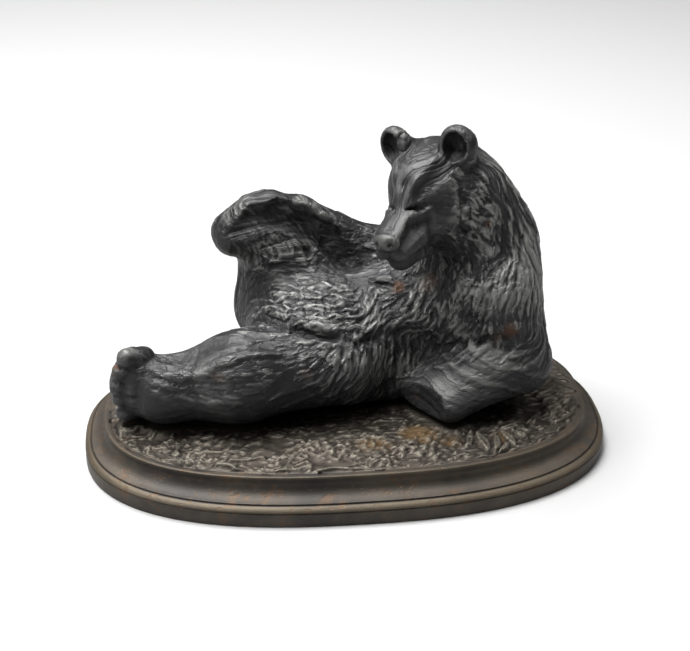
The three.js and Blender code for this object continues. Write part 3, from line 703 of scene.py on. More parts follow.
# The way the fur lies: cut, a place on the skin and a place further along the hair.
COMBING = [
    ("wavy", (12, 27, 69), (-7, 27, 65)),
    ("wavy", (14, 23, 61), (-1, 24, 57)),
    ("wavy", (20, 17, 59), (12, 17, 57)),
    ("wavy", (-42, 23, 82), (-29, 20, 71)),
    ("wavy", (-46, 22, 74), (-37, 21, 65)),
    ("sleek", (-19, 16, 57), (-37, 21, 60)),
    ("sleek", (-46, 29, 42), (-48, 29, 32)),
    ("sleek", (-49, 25, 63), (-48, 30, 44)),
    ("wavy", (-26, 23, 75), (-19, 21, 66)),
    ("sleek", (-18, 26, 75), (-4, 22, 58)),
    ("face", (-55, 25, 75), (-56, 25, 66)),
    ("face", (-36, 25, 90), (-48, 28, 85)),
    ("face", (1, 32, 77), (-18, 29, 87)),
    ("sleek", (17, 29, 69), (5, 31, 74)),
    ("face", (14, 10, 57), (-5, 12, 56)),
    ("sleek", (-6, 8, 55), (-24, 14, 54)),
    ("shag", (0, -2, 50), (-21, 1, 48)),
    ("shag", (-21, 1, 50), (-38, 7, 41)),
    ("shag", (-1, -11, 45), (-17, -12, 43)),
    ("shag", (-26, -6, 44), (-36, -2, 41)),
    ("shag", (2, -4, 49), (-8, -8, 46)),
    ("sleek", (-34, 16, 48), (-43, 24, 41)),
    ("swirl", (35, -10, 50), (29, -13, 40)),
    ("swirl", (29, -13, 40), (12, -13, 38)),
    ("swirl", (25, -3, 55), (11, -3, 50)),
    ("swirl", (11, -3, 50), (9, -12, 42)),
    ("swirl", (24, -9, 47), (17, -11, 41)),
    ("swirl", (36, -5, 58), (36, -10, 50)),
    ("swirl", (42, -10, 57), (41, -14, 44)),
    ("streak", (0, -22, 36), (-3, -27, 19)),
    ("streak", (18, -14, 30), (15, -16, 12)),
    ("streak", (26, -14, 33), (29, -13, 23)),
    ("streak", (-9, -25, 32), (-18, -28, 16)),
    ("sleek", (-23, -30, 25), (-37, -33, 18)),
    ("face", (-13, -17, 41), (-27, -18, 40)),
    ("face", (-36, -18, 40), (-54, -21, 40)),
    ("face", (-61, -24, 37), (-76, -19, 32)),
    ("sleek", (-23, -29, 30), (-41, -33, 28)),
    ("sleek", (-46, -35, 25), (-64, -33, 22)),
    ("sleek", (-68, -30, 26), (-83, -26, 26)),
    ("sleek", (-83, -22, 29), (-97, -15, 30)),
    ("face", (-86, -28, 23), (-97, -23, 23)),
    ("sleek", (-60, -18, 8), (-80, -18, 6)),
    ("sleek", (-40, -5, 36), (-60, -6, 34)),
    ("sleek", (-70, -3, 20), (-88, -3, 18)),
    ("face", (27, 8, 121), (22, -10, 108)),
    ("face", (36, 6, 123), (29, -15, 111)),
    ("face", (26, 4, 120), (20, -14, 106)),
    ("face", (37, -20, 99), (48, -20, 98)),
    ("face", (33, -24, 93), (47, -19, 90)),
    ("face", (39, -19, 110), (51, -16, 106)),
    ("ruff", (51, -13, 112), (59, -13, 103)),
    ("ruff", (54, -17, 104), (63, -14, 96)),
    ("ruff", (53, -19, 98), (62, -15, 92)),
    ("ruff", (53, -19, 91), (62, -16, 84)),
    ("ruff", (49, -18, 86), (56, -16, 77)),
    ("ruff", (43, -16, 82), (48, -13, 71)),
    ("ruff", (33, -20, 80), (42, -10, 70)),
    ("streak", (68, 4, 113), (76, 4, 101)),
    ("streak", (75, 1, 100), (82, -4, 85)),
    ("streak", (69, -3, 107), (72, -11, 91)),
    ("streak", (83, -7, 79), (88, -8, 66)),
    ("streak", (70, -12, 89), (76, -19, 70)),
    ("streak", (61, -19, 75), (65, -26, 59)),
    ("streak", (65, -21, 72), (58, -24, 58)),
    ("streak", (76, -23, 62), (72, -26, 44)),
    ("streak", (87, -17, 48), (87, -22, 33)),
    ("streak", (54, -21, 62), (48, -17, 45)),
    ("streak", (59, -23, 48), (55, -19, 33)),
    ("streak", (49, -17, 40), (45, -15, 29)),
    ("sleek", (67, -26, 44), (72, -26, 33)),
    ("sleek", (87, -25, 27), (82, -29, 16)),
    ("sleek", (84, -26, 28), (68, -29, 25)),
    ("sleek", (77, -29, 17), (60, -35, 14)),
    ("face", (59, -28, 27), (45, -31, 22)),
    ("face", (53, -36, 16), (44, -38, 13)),
    ("face", (41, -28, 23), (31, -22, 15)),
    # the back and the far side
    ("streak", (62, 20, 118), (74, 22, 102)),
    ("streak", (80, 14, 92), (88, 14, 74)),
    ("streak", (90, 10, 68), (94, 10, 46)),
    ("streak", (92, 12, 40), (90, 12, 18)),
    ("streak", (78, 34, 84), (82, 38, 64)),
    ("streak", (74, 42, 52), (70, 44, 28)),
    ("streak", (50, 36, 90), (50, 42, 72)),
    ("streak", (42, 46, 60), (38, 44, 40)),
    ("streak", (40, 38, 34), (34, 38, 12)),
    ("streak", (10, 38, 36), (4, 42, 16)),
    ("streak", (-12, 52, 36), (-16, 54, 16)),
    ("sleek", (-40, 52, 40), (-44, 48, 20)),
    ("sleek", (-30, 50, 62), (-34, 52, 44)),
    ("sleek", (-20, 46, 70), (-30, 46, 60)),
    ("sleek", (30, 44, 68), (14, 42, 66)),
    ("sleek", (8, 42, 66), (-10, 42, 78)),
    ("ruff", (40, 26, 104), (46, 32, 94)),
    ("ruff", (34, 24, 92), (40, 30, 80)),
    ("ruff", (24, 14, 84), (32, 22, 72)),
    ("streak", (50, 24, 122), (60, 28, 110)),
    ("face", (60, 10, 122), (68, 12, 112)),
    ("swirl", (24, 20, 68), (18, 22, 58)),
]

# The same for the face, by the head's own axes and for both sides.
FACE_COMBING = [
    ("bare", (46, 2, -1), (38, 2, 1)),
    ("bare", (36, 2, 3), (26, 3, 5)),
    ("bare", (38, 7, -4), (28, 9, -4)),
    ("bare", (30, 9, -3), (22, 12, -2)),
    ("bare", (43, 5, -8), (35, 7, -10)),
    ("bare", (32, 8, -12), (22, 12, -13)),
    ("bare", (40, 1, -16), (28, 1, -20)),
    ("face", (26, 3, 8), (18, 4, 14)),
    ("face", (16, 3, 19), (6, 4, 22)),
    ("bare", (4, 16, 26), (-2, 17, 30)),
    ("bare", (3, 11, 22), (0, 10, 27)),
    ("bare", (2, 22, 22), (-3, 23, 26)),
    ("bare", (0, 16, 21), (0, 17, 25)),
]


def fine_skin(node, name, spacing):
    """A rounded, evenly spaced copy of a solid's skin."""
    mesh = bpy.data.meshes.new(name)
    work = bmesh.new()
    work.from_mesh(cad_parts[node].data)
    bmesh.ops.remove_doubles(work, verts=work.verts, dist=1e-6)
    work.to_mesh(mesh)
    work.free()
    mesh.materials.clear()
    obj = new_object(name, mesh)
    rounding = obj.modifiers.new("rounding", "SUBSURF")
    rounding.levels = rounding.render_levels = 2
    evening = obj.modifiers.new("evening", "REMESH")
    evening.mode = "VOXEL"
    evening.voxel_size = spacing
    apply_modifiers(obj)
    return obj


class Coat:
    """The lie of the fur over the whole skin, found from the combing."""

    def __init__(self, normals, tree):
        rows = COMBING + [(cut, on_head(f, side * l, u), on_head(f2, side * l2, u2))
                          for cut, (f, l, u), (f2, l2, u2) in FACE_COMBING for side in (1, -1)]
        self.starts = np.array([row[1] for row in rows], float)
        self.ways = unit(np.array([row[2] for row in rows], float) - self.starts)
        self.cuts = np.array([CUTS[row[0]] for row in rows])
        near = [tree.find(Vector(p))[1] for p in self.starts]
        self.facing = normals[near]

    def at(self, places, normals):
        """The way of the hair and its cut at each place."""
        ways = np.zeros_like(places)
        cuts = np.zeros((len(places), self.cuts.shape[1]))
        for first in range(0, len(places), 20000):
            part = slice(first, first + 20000)
            gap = ((places[part, None, :] - self.starts[None]) ** 2).sum(2)
            weight = np.clip(0.25 + normals[part] @ self.facing.T, 0.01, 1) / (gap + 12.0) ** 2
            weight /= weight.sum(1, keepdims=True)
            ways[part] = weight @ self.ways
            cuts[part] = weight @ self.cuts
        ways -= (ways * normals).sum(1, keepdims=True) * normals
        return unit(ways), cuts


def seed_locks(clay, normals, coat, chance, size):
    """Chooses where the locks start, closer together where they are small."""
    order = chance.permutation(len(clay.points))[:int(90000 / size ** 2)]
    places, facing = clay.points[order], normals[order]
    ways, cuts = coat.at(places, facing)
    lengths, widths = cuts[:, 0] * 0.36 * size, cuts[:, 1] * 0.70 * size
    cube = 5.0 * size
    cells = np.floor(places / cube).astype(int)
    around = [(i, j, k) for i in (-1, 0, 1) for j in (-1, 0, 1) for k in (-1, 0, 1)]
    taken = {}
    chosen = []
    for index, (x, y, z) in enumerate(places):
        a, b, c = ways[index]
        length, width = lengths[index], widths[index]
        cell = cells[index]
        crowded = False
        for i, j, k in around:
            for ox, oy, oz in taken.get((cell[0] + i, cell[1] + j, cell[2] + k), ()):
                dx, dy, dz = x - ox, y - oy, z - oz
                along = dx * a + dy * b + dz * c
                across = dx * dx + dy * dy + dz * dz - along * along
                if (along / length) ** 2 + across / width ** 2 < 1:
                    crowded = True
                    break
            if crowded:
                break
        if not crowded:
            taken.setdefault(tuple(cell), []).append((x, y, z))
            chosen.append(order[index])
    return np.array(chosen)


def trace_locks(clay, normals, coat, tree, seeds, chance, size):
    """The middle line of each lock, laid on the skin and curled."""
    steps = 5
    place, facing = clay.points[seeds].copy(), normals[seeds].copy()
    way, cuts = coat.at(place, facing)
    length = size * cuts[:, 0] * chance.uniform(0.75, 1.25, len(seeds))
    sway = np.sin(place @ np.array([0.11, 0.07, 0.13]) * 1.7) + 0.8 * chance.normal(0, 1, len(seeds))
    lean = chance.normal(0, 0.12, len(seeds))
    lines = [place.copy()]
    for step in range(steps):
        turn = cuts[:, 3] * np.sin(2.2 * math.pi * (step + 0.5) / steps + sway) + lean
        side = np.cross(facing, way)
        heading = way * np.cos(turn)[:, None] + side * np.sin(turn)[:, None]
        place = place + heading * (length / steps)[:, None]
        for i in range(len(place)):
            co, index, gap = tree.find(place[i])
            place[i] += facing[i] * ((np.array(co) - place[i]) @ facing[i])
            facing[i] = normals[index]
        way, _ = coat.at(place, facing)
        lines.append(place.copy())
    return np.stack(lines, 1), cuts


def cut_fur(clay, places, normals, lines, widths, depths, chance):
    """Lays the locks one over another like tiles, and returns each point's height."""
    count = len(clay.points)
    height = np.zeros(count)
    shade = np.zeros(count)
    for line, width, depth in zip(lines, widths, depths):
        near = places.inside(line.min(0) - width, line.max(0) + width)
        if len(near) == 0:
            continue
        gap, share, _ = along_path(clay.points[near], line)
        close = gap < width
        near, gap, share = near[close], gap[close], share[close]
        half = width * np.clip(share / 0.22, 0.0, 1) ** 0.5 * np.clip(1 - share ** 3.2, 0, 1) ** 0.75 + 0.02
        edge = np.clip(gap / half, 0, 1)
        rise = 0.25 + 0.75 * share ** 0.8
        bump = depth * rise * (1 - edge ** 2.2) * np.clip((1 - share) / 0.05, 0, 1) ** 0.5
        over = bump > height[near]
        hit = near[over]
        height[hit] = bump[over]
        shade[hit] = chance.uniform()
    return height, shade


def lay_locks(clay, places, normals, coat, tree, chance, size, column, depth):
    """One layer of locks, size times as large as the cut says."""
    seeds = seed_locks(clay, normals, coat, chance, size)
    lines, cuts = trace_locks(clay, normals, coat, tree, seeds, chance, size)
    widths = 0.62 * size * cuts[:, 1] * chance.uniform(0.8, 1.25, len(seeds))
    depths = depth * cuts[:, column] * chance.uniform(0.7, 1.25, len(seeds))
    shown = depths > 0.04
    return cut_fur(clay, places, normals, lines[shown], widths[shown], depths[shown], chance)


def flow_measures(coat, rounds=500):
    """Places spread over the skin, and two measures at each in millimetres: across and along the hair."""
    obj = fine_skin("bear", "flow", 2.4 * MM)
    clay = Clay(obj, (0, 0, SEAT))
    normals = clay.normals()
    ways, _ = coat.at(clay.points, normals)
    count = len(clay.points)
    step = clay.points[clay.ends] - clay.points[clay.starts]

    def pull(value):
        gap = value[clay.ends] - value[clay.starts]
        return np.bincount(clay.ends, gap, count) - np.bincount(clay.starts, gap, count)

    measures = []
    slopes = [np.cross(normals, ways), ways]
    for slope in slopes:
        wanted = ((slope[clay.starts] + slope[clay.ends]) / 2 * step).sum(1)
        rest = np.bincount(clay.ends, wanted, count) - np.bincount(clay.starts, wanted, count)
        value = np.zeros(count)
        heading = rest.copy()
        size = rest @ rest
        for _ in range(rounds):
            pulled = pull(heading)
            share = size / (heading @ pulled)
            value += share * heading
            rest -= share * pulled
            fresh = rest @ rest
            heading = rest + heading * (fresh / size)
            size = fresh
        measures.append(value)
    points = clay.points
    bpy.data.objects.remove(obj)
    return points, measures, slopes


def note_flow(clay, coat):
    """Gives every point of the finished skin its measures across and along the hair."""
    points, measures, slopes = flow_measures(coat)
    tree = kdtree.KDTree(len(points))
    for index, point in enumerate(points):
        tree.insert(point, index)
    tree.balance()
    found = [tree.find_n(point, 4) for point in clay.points]
    near = np.array([[hit[1] for hit in hits] for hits in found])
    gaps = np.array([[hit[2] for hit in hits] for hits in found])
    weight = 1 / (gaps ** 2 + 0.3)
    weight /= weight.sum(1, keepdims=True)
    off = clay.points[:, None, :] - points[near]
    for name, value, slope in zip(("across", "along"), measures, slopes):
        guess = value[near] + (off * slope[near]).sum(2)
        clay.note(name, (guess * weight).sum(1))


def fold(clay):
    """Presses in the folds and raises the ridges."""
    places = Neighbourhood(clay.points)
    normals = clay.normals()
    for width, depth, path in FOLDS:
        press(clay, places, normals, path, width, depth, ends=0.3)


class BEAR_OT_casting(bpy.types.Operator):
    """Models the bear's fur, face and paws over the frame's bear"""

    bl_idname = "iron_bear.casting"
    bl_label = "Bear"

    def execute(self, context):
        settings = context.scene.iron_bear
        obj = fine_skin("bear", "bear_casting", settings.fineness)
        clay = Clay(obj, (0, 0, SEAT))
        clay.smooth(1)
        settle(clay, torso() + far_hind_leg() + far_arm() + near_hind_leg() + near_arm() + head())
        clay.smooth(1, 0.4)
        fold(clay)
        normals = clay.normals()
        coat = self.grow_fur(clay, normals, settings.fur_depth)
        clay.smooth(1, 0.2)
        clay.points[:, 2] = np.maximum(clay.points[:, 2], 0.0)
        blurred = np.stack([clay.averaged(clay.points[:, axis], 60) for axis in range(3)], 1)
        clay.note("form", ((clay.points - blurred) * normals).sum(1))
        clay.note("rust", patches(clay.points, RUST))
        clay.note("worn", patches(clay.points, WORN))
        clay.write()
        faces = len(obj.data.polygons) * 2
        thinning = obj.modifiers.new("thinning", "DECIMATE")
        thinning.ratio = min(1.0, settings.triangles / faces)
        apply_modifiers(obj)
        cast = Clay(obj, (0, 0, SEAT))
        note_flow(cast, coat)
        # painted shade in the hollows, creases and under the limbs
        cast.note("grime", grime(cast))
        shade_smooth(obj.data)
        obj.data.materials.append(bear_finish(settings))
        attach(obj, "root")
        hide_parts("bear")
        print("bear", faces, "->", len(obj.data.polygons), "triangles")
        return {"FINISHED"}

    def grow_fur(self, clay, normals, depth):
        tree = kdtree.KDTree(len(clay.points))
        for index, point in enumerate(clay.points):
            tree.insert(point, index)
        tree.balance()
        chance = np.random.default_rng(SEED)
        coat = Coat(normals, tree)
        places = Neighbourhood(clay.points)
        tufts, _ = lay_locks(clay, places, normals, coat, tree, chance, 2.1, 4, depth)
        locks, shade = lay_locks(clay, places, normals, coat, tree, chance, 1.0, 2, depth)
        _, cuts = coat.at(clay.points, normals)
        height = tufts + locks
        relief = height - clay.averaged(height, 30)
        seated = smoothstep(clay.points[:, 2], 0.2, 2.5)
        sunk = 0.45 * (cuts[:, 2] + cuts[:, 4])
        clay.points += normals * ((height - sunk) * seated)[:, None]
        clay.note("relief", relief)
        clay.note("lock", shade)
        clay.note("curl", cuts[:, 3])
        clay.note("strand", cuts[:, 5])
        return coat


# Where rust shows: place, how far it spreads, and how strong it is.
RUST = [
    ((34, -10, 62), 7, 0.9),
    ((24, -2, 56), 4, 0.6),
    ((72, -26, 44), 5, 0.6),
    ((66, -27, 40), 4, 0.5),
    ((-104, -17, 27), 4, 0.8),
    ((62, -16, 92), 3, 0.5),
    ((30, -22, 8), 5, 0.3),
    ((-60, -33, 30), 5, 0.4),
    ((-20, -29, 28), 5, 0.35),
]


# Where hands have rubbed the patina pale.
WORN = [
    ((60, -26, 24), 15, 1.0),
    ((46, -28, 22), 9, 0.8),
    ((80, -14, 76), 16, 0.5),
    ((-14, 32, 88), 14, 0.5),
    ((-46, 34, 84), 14, 0.5),
    ((-38, 30, 62), 12, 0.4),
]


def patches(points, spots):
    """Soft round patches, each with its place, how far it spreads and its strength."""
    value = np.zeros(len(points))
    for place, spread, strength in spots:
        gap = np.linalg.norm(points - np.array(place, float), axis=1)
        value = np.maximum(value, strength * np.exp(-((gap / spread) ** 2)))
    return value


def grime(clay):
    """How dark each point is painted as shade: in the hollows, creases and under the limbs, and on the low sides that
    face down.
    """
    lie = np.stack([clay.averaged(axis, 12) for axis in clay.normals().T], 1)
    under = 1 - smoothstep(lie[:, 2], -0.1, 0.55)
    low = 1 - smoothstep(clay.points[:, 2], 12, 62)
    # painted shade on the low sides that face down
    dark = 0.8 * under * low
    for reach, strength, path in PAINTED_SHADE_LINES:
        gap, _, _ = along_path(clay.points, np.array(path, float))
        dark = np.maximum(dark, strength * np.exp(-((gap / reach) ** 2)))
    return dark


def bear_finish(settings):
    """Dark patina, worn bright on the high forms and brown with rust in places, with painted shade in the hollows,
    creases and under the limbs.
    """
    finish = Finish("bear_patina")
    relief, form = finish.point_value("relief"), finish.point_value("form")
    across, along = finish.point_value("across"), finish.point_value("along")
    curl, strand = finish.point_value("curl"), finish.point_value("strand")
    lock, rust = finish.point_value("lock"), finish.point_value("rust")
    painted_dark, worn = finish.point_value("grime"), finish.point_value("worn")
    cloud = finish.noise(28.0, 5.0)
    grit = finish.noise(900.0, 3.0)
    sway = (along * 0.6 + cloud * 12.0).cosine() * curl * 0.8
    hair = finish.flat_noise(across * 0.75 + sway, along * 0.06, 2.0).from_to(0.34, 0.66)
    wisp = finish.flat_noise(across * 0.30 + sway * 0.7 + 40.0, along * 0.035, 1.0).from_to(0.30, 0.70)
    height = (hair * 0.5 + wisp * 0.7) * strand
    # crests of the locks and convex forms are paler, as rubbed patina; the form term also paints shade into the concave
    # hollows
    rubbed = relief * 0.75 + form * 0.22 + height * 0.42 + cloud * 0.30 + lock * 0.08
    wear = (rubbed + worn * 0.28 - curl * 0.26 - painted_dark * 0.12 - 0.26).from_to(0.0, 0.72)
    colour = finish.mix(wear, settings.soot, settings.iron)
    # painted shade: the hollows, creases and undersides darken towards soot
    colour = finish.mix(painted_dark * 0.72, colour, settings.soot)
    stain = (rust * 1.6 + cloud * 0.5 - 0.62 + grit * 0.2 - relief * 0.15).from_to(0.0, 0.8)
    colour = finish.mix(stain * 0.36, colour, settings.rust)
    normal = finish.bump(height + grit * 0.06, 0.0010, 1.0)
    roughness = 0.46 - wear * 0.05 + grit * 0.08 + stain * 0.2 + painted_dark * 0.12 + curl * 0.06
    return finish.metal(colour, roughness, 0.3, normal)


# ---- The base ----

SQUARENESS = 2.5
BAND_HEIGHT = 7.4
FILLET_WIDTH = 2.0
GROOVE_DEPTH = 0.7
COVE_RUN = 8.4
COVE_HEIGHT = 6.2
FASCIA_HEIGHT = 3.2
EDGE_PROUD = 0.5
LEDGE_WIDTH = 2.8
LIP_HEIGHT = 1.2
GROUND_RISE = 3.5
COVE_FOOT = BAND_HEIGHT + FILLET_WIDTH + GROOVE_DEPTH
UPPER_EDGE = COVE_FOOT + COVE_HEIGHT + FASCIA_HEIGHT
GROUND = UPPER_EDGE + GROUND_RISE
EDGE_INSET = FILLET_WIDTH + COVE_RUN - EDGE_PROUD


def oval(turn, inset):
    """Points on the base's outline, moved in square to the edge."""
    c, s = np.cos(turn), np.sin(turn)
    reach = (np.abs(c) ** SQUARENESS + np.abs(s) ** SQUARENESS) ** (-1 / SQUARENESS)
    out = np.stack([np.sign(c) * np.abs(c) ** (SQUARENESS - 1) / BASE_HALF.x,
                    np.sign(s) * np.abs(s) ** (SQUARENESS - 1) / BASE_HALF.y], -1)
    edge = np.stack([BASE_HALF.x * reach * c, BASE_HALF.y * reach * s], -1)
    return edge - unit(out) * np.asarray(inset)[..., None]


def moulding_profile():
    """Inset, height and wear of each ring of the moulding, from the ledge down to the table."""
    top = [
        (EDGE_INSET + LEDGE_WIDTH, UPPER_EDGE, 0.1),
        (EDGE_INSET + 1.2, UPPER_EDGE, 0.2),
        (EDGE_INSET + 0.35, UPPER_EDGE, 0.8),
        (EDGE_INSET + 0.08, UPPER_EDGE - 0.12, 1.0),
        (EDGE_INSET, UPPER_EDGE - 0.4, 0.9),
        (EDGE_INSET + 0.05, UPPER_EDGE - 1.2, 0.2),
        (EDGE_INSET + 0.35, UPPER_EDGE - 2.3, 0.0),
    ]
    steps = 12
    cove = []
    for i in range(steps, -1, -1):
        turn = i / steps * math.pi / 2
        cove.append((FILLET_WIDTH + GROOVE_DEPTH + (COVE_RUN - GROOVE_DEPTH) * math.sin(turn),
                     COVE_FOOT + COVE_HEIGHT * (1 - math.cos(turn)), 0.25 * (1 - i / steps)))
    foot = [
        (FILLET_WIDTH + 0.95, COVE_FOOT - 0.15, 0.0),
        (FILLET_WIDTH + 0.85, COVE_FOOT - 0.55, 0.0),
        (FILLET_WIDTH + 0.25, BAND_HEIGHT + FILLET_WIDTH - 0.1, 0.7),
        (FILLET_WIDTH - 0.1, BAND_HEIGHT + FILLET_WIDTH - 0.12, 1.0),
        (0.55, BAND_HEIGHT + 0.62, 0.9),
        (0.2, BAND_HEIGHT + 0.2, 1.0),
        (0.12, BAND_HEIGHT - 0.1, 0.8),
        (0.5, BAND_HEIGHT - 0.35, 0.0),
        (0.45, BAND_HEIGHT - 0.6, 0.0),
        (0.06, BAND_HEIGHT - 0.85, 0.5),
        (0.0, BAND_HEIGHT - 1.2, 0.3),
        (0.0, BAND_HEIGHT / 2, 0.1),
        (0.0, 0.5, 0.2),
        (0.15, 0.12, 0.5),
        (0.5, 0.0, 0.0),
    ]
    return top + cove + foot


def lattice_noise(x, y, size, chance):
    """Soft random hills about as wide as size, between -1 and 1."""
    table = chance.uniform(-1, 1, (64, 64))
    u, v = x / size + 17.3, y / size + 31.7
    i, j = np.floor(u).astype(int), np.floor(v).astype(int)
    fu, fv = u - i, v - j
    fu, fv = fu * fu * (3 - 2 * fu), fv * fv * (3 - 2 * fv)
    at = lambda a, b: table[a % 64, b % 64]
    low = at(i, j) * (1 - fu) + at(i + 1, j) * fu
    high = at(i, j + 1) * (1 - fu) + at(i + 1, j + 1) * fu
    return low * (1 - fv) + high * fv


class Ground:
    """The height of the modelled ground while it is strewn."""

    def __init__(self, points, relief):
        self.xy = points[:, :2]
        self.height = np.zeros(len(points))
        self.wear = np.zeros(len(points))
        self.relief = relief
        flat = np.column_stack([self.xy, np.zeros(len(points))])
        self.places = Neighbourhood(flat)

    def _near(self, low, high):
        return self.places.inside(np.array([*low, 0.0]), np.array([*high, 0.0]))

    def _raise(self, near, height, wear):
        over = height > self.height[near]
        hit = near[over]
        self.height[hit] = height[over]
        self.wear[hit] = wear[over] if isinstance(wear, np.ndarray) else wear

    def leaf(self, x, y, turn, length, width, thick, ribs=0):
        """A pointed leaf that lies on the ground, its midrib sunk."""
        way = np.array([math.cos(turn), math.sin(turn)])
        middle = np.array([x, y])
        near = self._near(middle - length * 0.6, middle + length * 0.6)
        if len(near) == 0:
            return
        off = self.xy[near] - middle
        along = off @ way / length + 0.5
        across = off @ np.array([-way[1], way[0]]) + 0.12 * width * np.sin(along * math.pi * 1.3)
        edge = width / 2 * np.clip(np.sin(np.pi * np.clip(along, 0, 1)), 0, 1) ** 0.75
        x_share = np.abs(across) / np.maximum(edge, 0.01)
        inside = (along > 0) & (along < 1) & (x_share < 1)
        near, along, x_share = near[inside], along[inside], x_share[inside]
        dish = 0.72 + 0.28 * np.sin(np.pi * x_share) - 0.30 * np.exp(-((x_share / 0.16) ** 2))
        if ribs:
            dish += 0.10 * np.cos(2 * np.pi * (along * ribs - x_share * 0.8))
        rise = thick * dish * np.clip((1 - x_share) / 0.18, 0, 1) ** 0.5 * (0.75 + 0.35 * along)
        self._raise(near, rise * self.relief, 0.5 + 0.5 * dish)

    def stone(self, x, y, size, thick, turn=0.0, slim=1.0):
        middle = np.array([x, y])
        near = self._near(middle - size, middle + size)
        if len(near) == 0:
            return
        way = np.array([math.cos(turn), math.sin(turn)])
        off = self.xy[near] - middle
        gap = np.hypot(off @ way, (off @ np.array([-way[1], way[0]])) / slim) / (size / 2)
        inside = gap < 1
        self._raise(near[inside], thick * self.relief * np.sqrt(1 - gap[inside] ** 2), 0.8)

    def twig(self, path, thick, tall, taper=0.5):
        """A root or a stalk that lies along a path."""
        path = curve_through([(*p, 0) for p in path], 8)
        near = self._near(path.min(0)[:2] - thick, path.max(0)[:2] + thick)
        if len(near) == 0:
            return
        flat = np.column_stack([self.xy[near], np.zeros(len(near))])
        gap, share, _ = along_path(flat, path)
        half = thick / 2 * (1 - (1 - taper) * share)
        inside = gap < half
        rise = tall * np.sqrt(1 - (gap[inside] / half[inside]) ** 2) * (1 - 0.4 * (1 - taper) * share[inside])
        self._raise(near[inside], rise * self.relief, 0.9)


class BASE_OT_casting(bpy.types.Operator):
    """Models the base with its moulding and the ground that the bear lies on"""

    bl_idname = "iron_bear.base"
    bl_label = "Base"

    def execute(self, context):
        settings = context.scene.iron_base
        work = bmesh.new()
        bmesh.ops.create_grid(work, x_segments=settings.grid, y_segments=settings.grid, size=1.0)
        work.verts.ensure_lookup_table()
        square = np.array([v.co for v in work.verts])
        disc_x = square[:, 0] * np.sqrt(1 - square[:, 1] ** 2 / 2)
        disc_y = square[:, 1] * np.sqrt(1 - square[:, 0] ** 2 / 2)
        turn, share = np.arctan2(disc_y, disc_x), np.minimum(np.hypot(disc_x, disc_y), 1)
        chance = np.random.default_rng(SEED + 1)
        ragged = 0.8 * np.sin(turn * 23 + 2 * np.sin(turn * 7)) + 0.6 * np.sin(turn * 57 + 1.3 + np.sin(turn * 11))
        lip = oval(turn, EDGE_INSET + LEDGE_WIDTH + 0.4 + 0.5 * ragged)
        spots = np.column_stack([lip * share[:, None], np.full(len(square), GROUND)])
        heights, wear = model_ground(spots, share, settings.relief, chance)
        spots[:, 2] = heights
        rim = share > 1 - 1e-6
        for vert, spot, at_rim in zip(work.verts, spots, rim):
            vert.co = Vector((spot[0], spot[1], UPPER_EDGE - 0.15 if at_rim else spot[2])) * MM
        wear_values = list(np.where(rim, 0.0, wear))
        turns = list(turn)
        ring = [e for e in work.edges if e.is_boundary]
        for inset, level, rub in moulding_profile():
            made = bmesh.ops.extrude_edge_only(work, edges=ring)["geom"]
            old = {v for e in ring for v in e.verts}
            ring = [g for g in made if isinstance(g, bmesh.types.BMEdge) and g.is_boundary]
            fresh = [g for g in made if isinstance(g, bmesh.types.BMVert)]
            work.verts.index_update()
            for vert in fresh:
                source = next(e.other_vert(vert) for e in vert.link_edges if e.other_vert(vert) in old)
                turns.append(turns[source.index])
            spots = oval(np.array(turns[-len(fresh):]), np.full(len(fresh), inset))
            for vert, spot in zip(fresh, spots):
                vert.co = Vector((spot[0], spot[1], level)) * MM
            wear_values.extend([rub] * len(fresh))
        bmesh.ops.edgeloop_fill(work, edges=ring)
        bmesh.ops.recalc_face_normals(work, faces=work.faces)
        mesh = bpy.data.meshes.new("base_casting")
        work.to_mesh(mesh)
        work.free()
        obj = new_object("base_casting", mesh)
        layer = mesh.attributes.new("wear", "FLOAT", "POINT")
        layer.data.foreach_set("value", np.array(wear_values, np.float32))
        clay = Clay(obj, (0, 0, 0))
        blurred = clay.averaged(clay.points[:, 2], 12)
        top = smoothstep(clay.points[:, 2], UPPER_EDGE - 0.2, UPPER_EDGE + 0.4)
        clay.note("relief", (clay.points[:, 2] - blurred) * top)
        clay.note("soil", top)
        clay.note("rust", rust_patches_ground(clay.points))
        shade_smooth(mesh)
        mesh.materials.append(base_finish(settings))
        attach(obj, "root")
        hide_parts("base")
        print("base", sum(len(p.vertices) - 2 for p in mesh.polygons), "triangles")
        return {"FINISHED"}


def bear_footprint(points):
    """Distance on the ground from each point to where the bear rests."""
    bear = bpy.data.objects["bear_casting"]
    flat = np.empty(len(bear.data.vertices) * 3, np.float32)
    bear.data.vertices.foreach_get("co", flat)
    skin = flat.reshape(-1, 3).astype(float) / MM
    low = skin[skin[:, 2] < SEAT + 2.5]
    tree = kdtree.KDTree(len(low))
    for index, point in enumerate(low):
        tree.insert((point[0], point[1], 0), index)
    tree.balance()
    return np.array([tree.find((x, y, 0))[2] for x, y in points[:, :2]])


def model_ground(spots, share, relief, chance):
    """Height and wear of the ground: soil, stones, leaves, twigs and grass."""
    ground = Ground(spots, relief)
    x, y = spots[:, 0], spots[:, 1]
    gap = bear_footprint(spots)
    rough = (0.55 * lattice_noise(x, y, 11, chance) + 0.35 * lattice_noise(x, y, 4.6, chance)
             + 0.22 * lattice_noise(x, y, 2.1, chance))
    open_ground = smoothstep(gap, 0.3, 5.0)
    sink = (GROUND_RISE - LIP_HEIGHT) * smoothstep(share, 0.55, 1.0)
    soil = GROUND - 0.25 - (sink + 0.75 - 0.8 * rough) * open_ground
    strew(ground, chance)
    drop = smoothstep(1 - share, 0.0, 0.012)
    height = (soil - UPPER_EDGE + ground.height * smoothstep(gap, 0.0, 3.0)) * drop + UPPER_EDGE - 0.15 * (1 - drop)
    return np.minimum(height, GROUND + 1.6), ground.wear


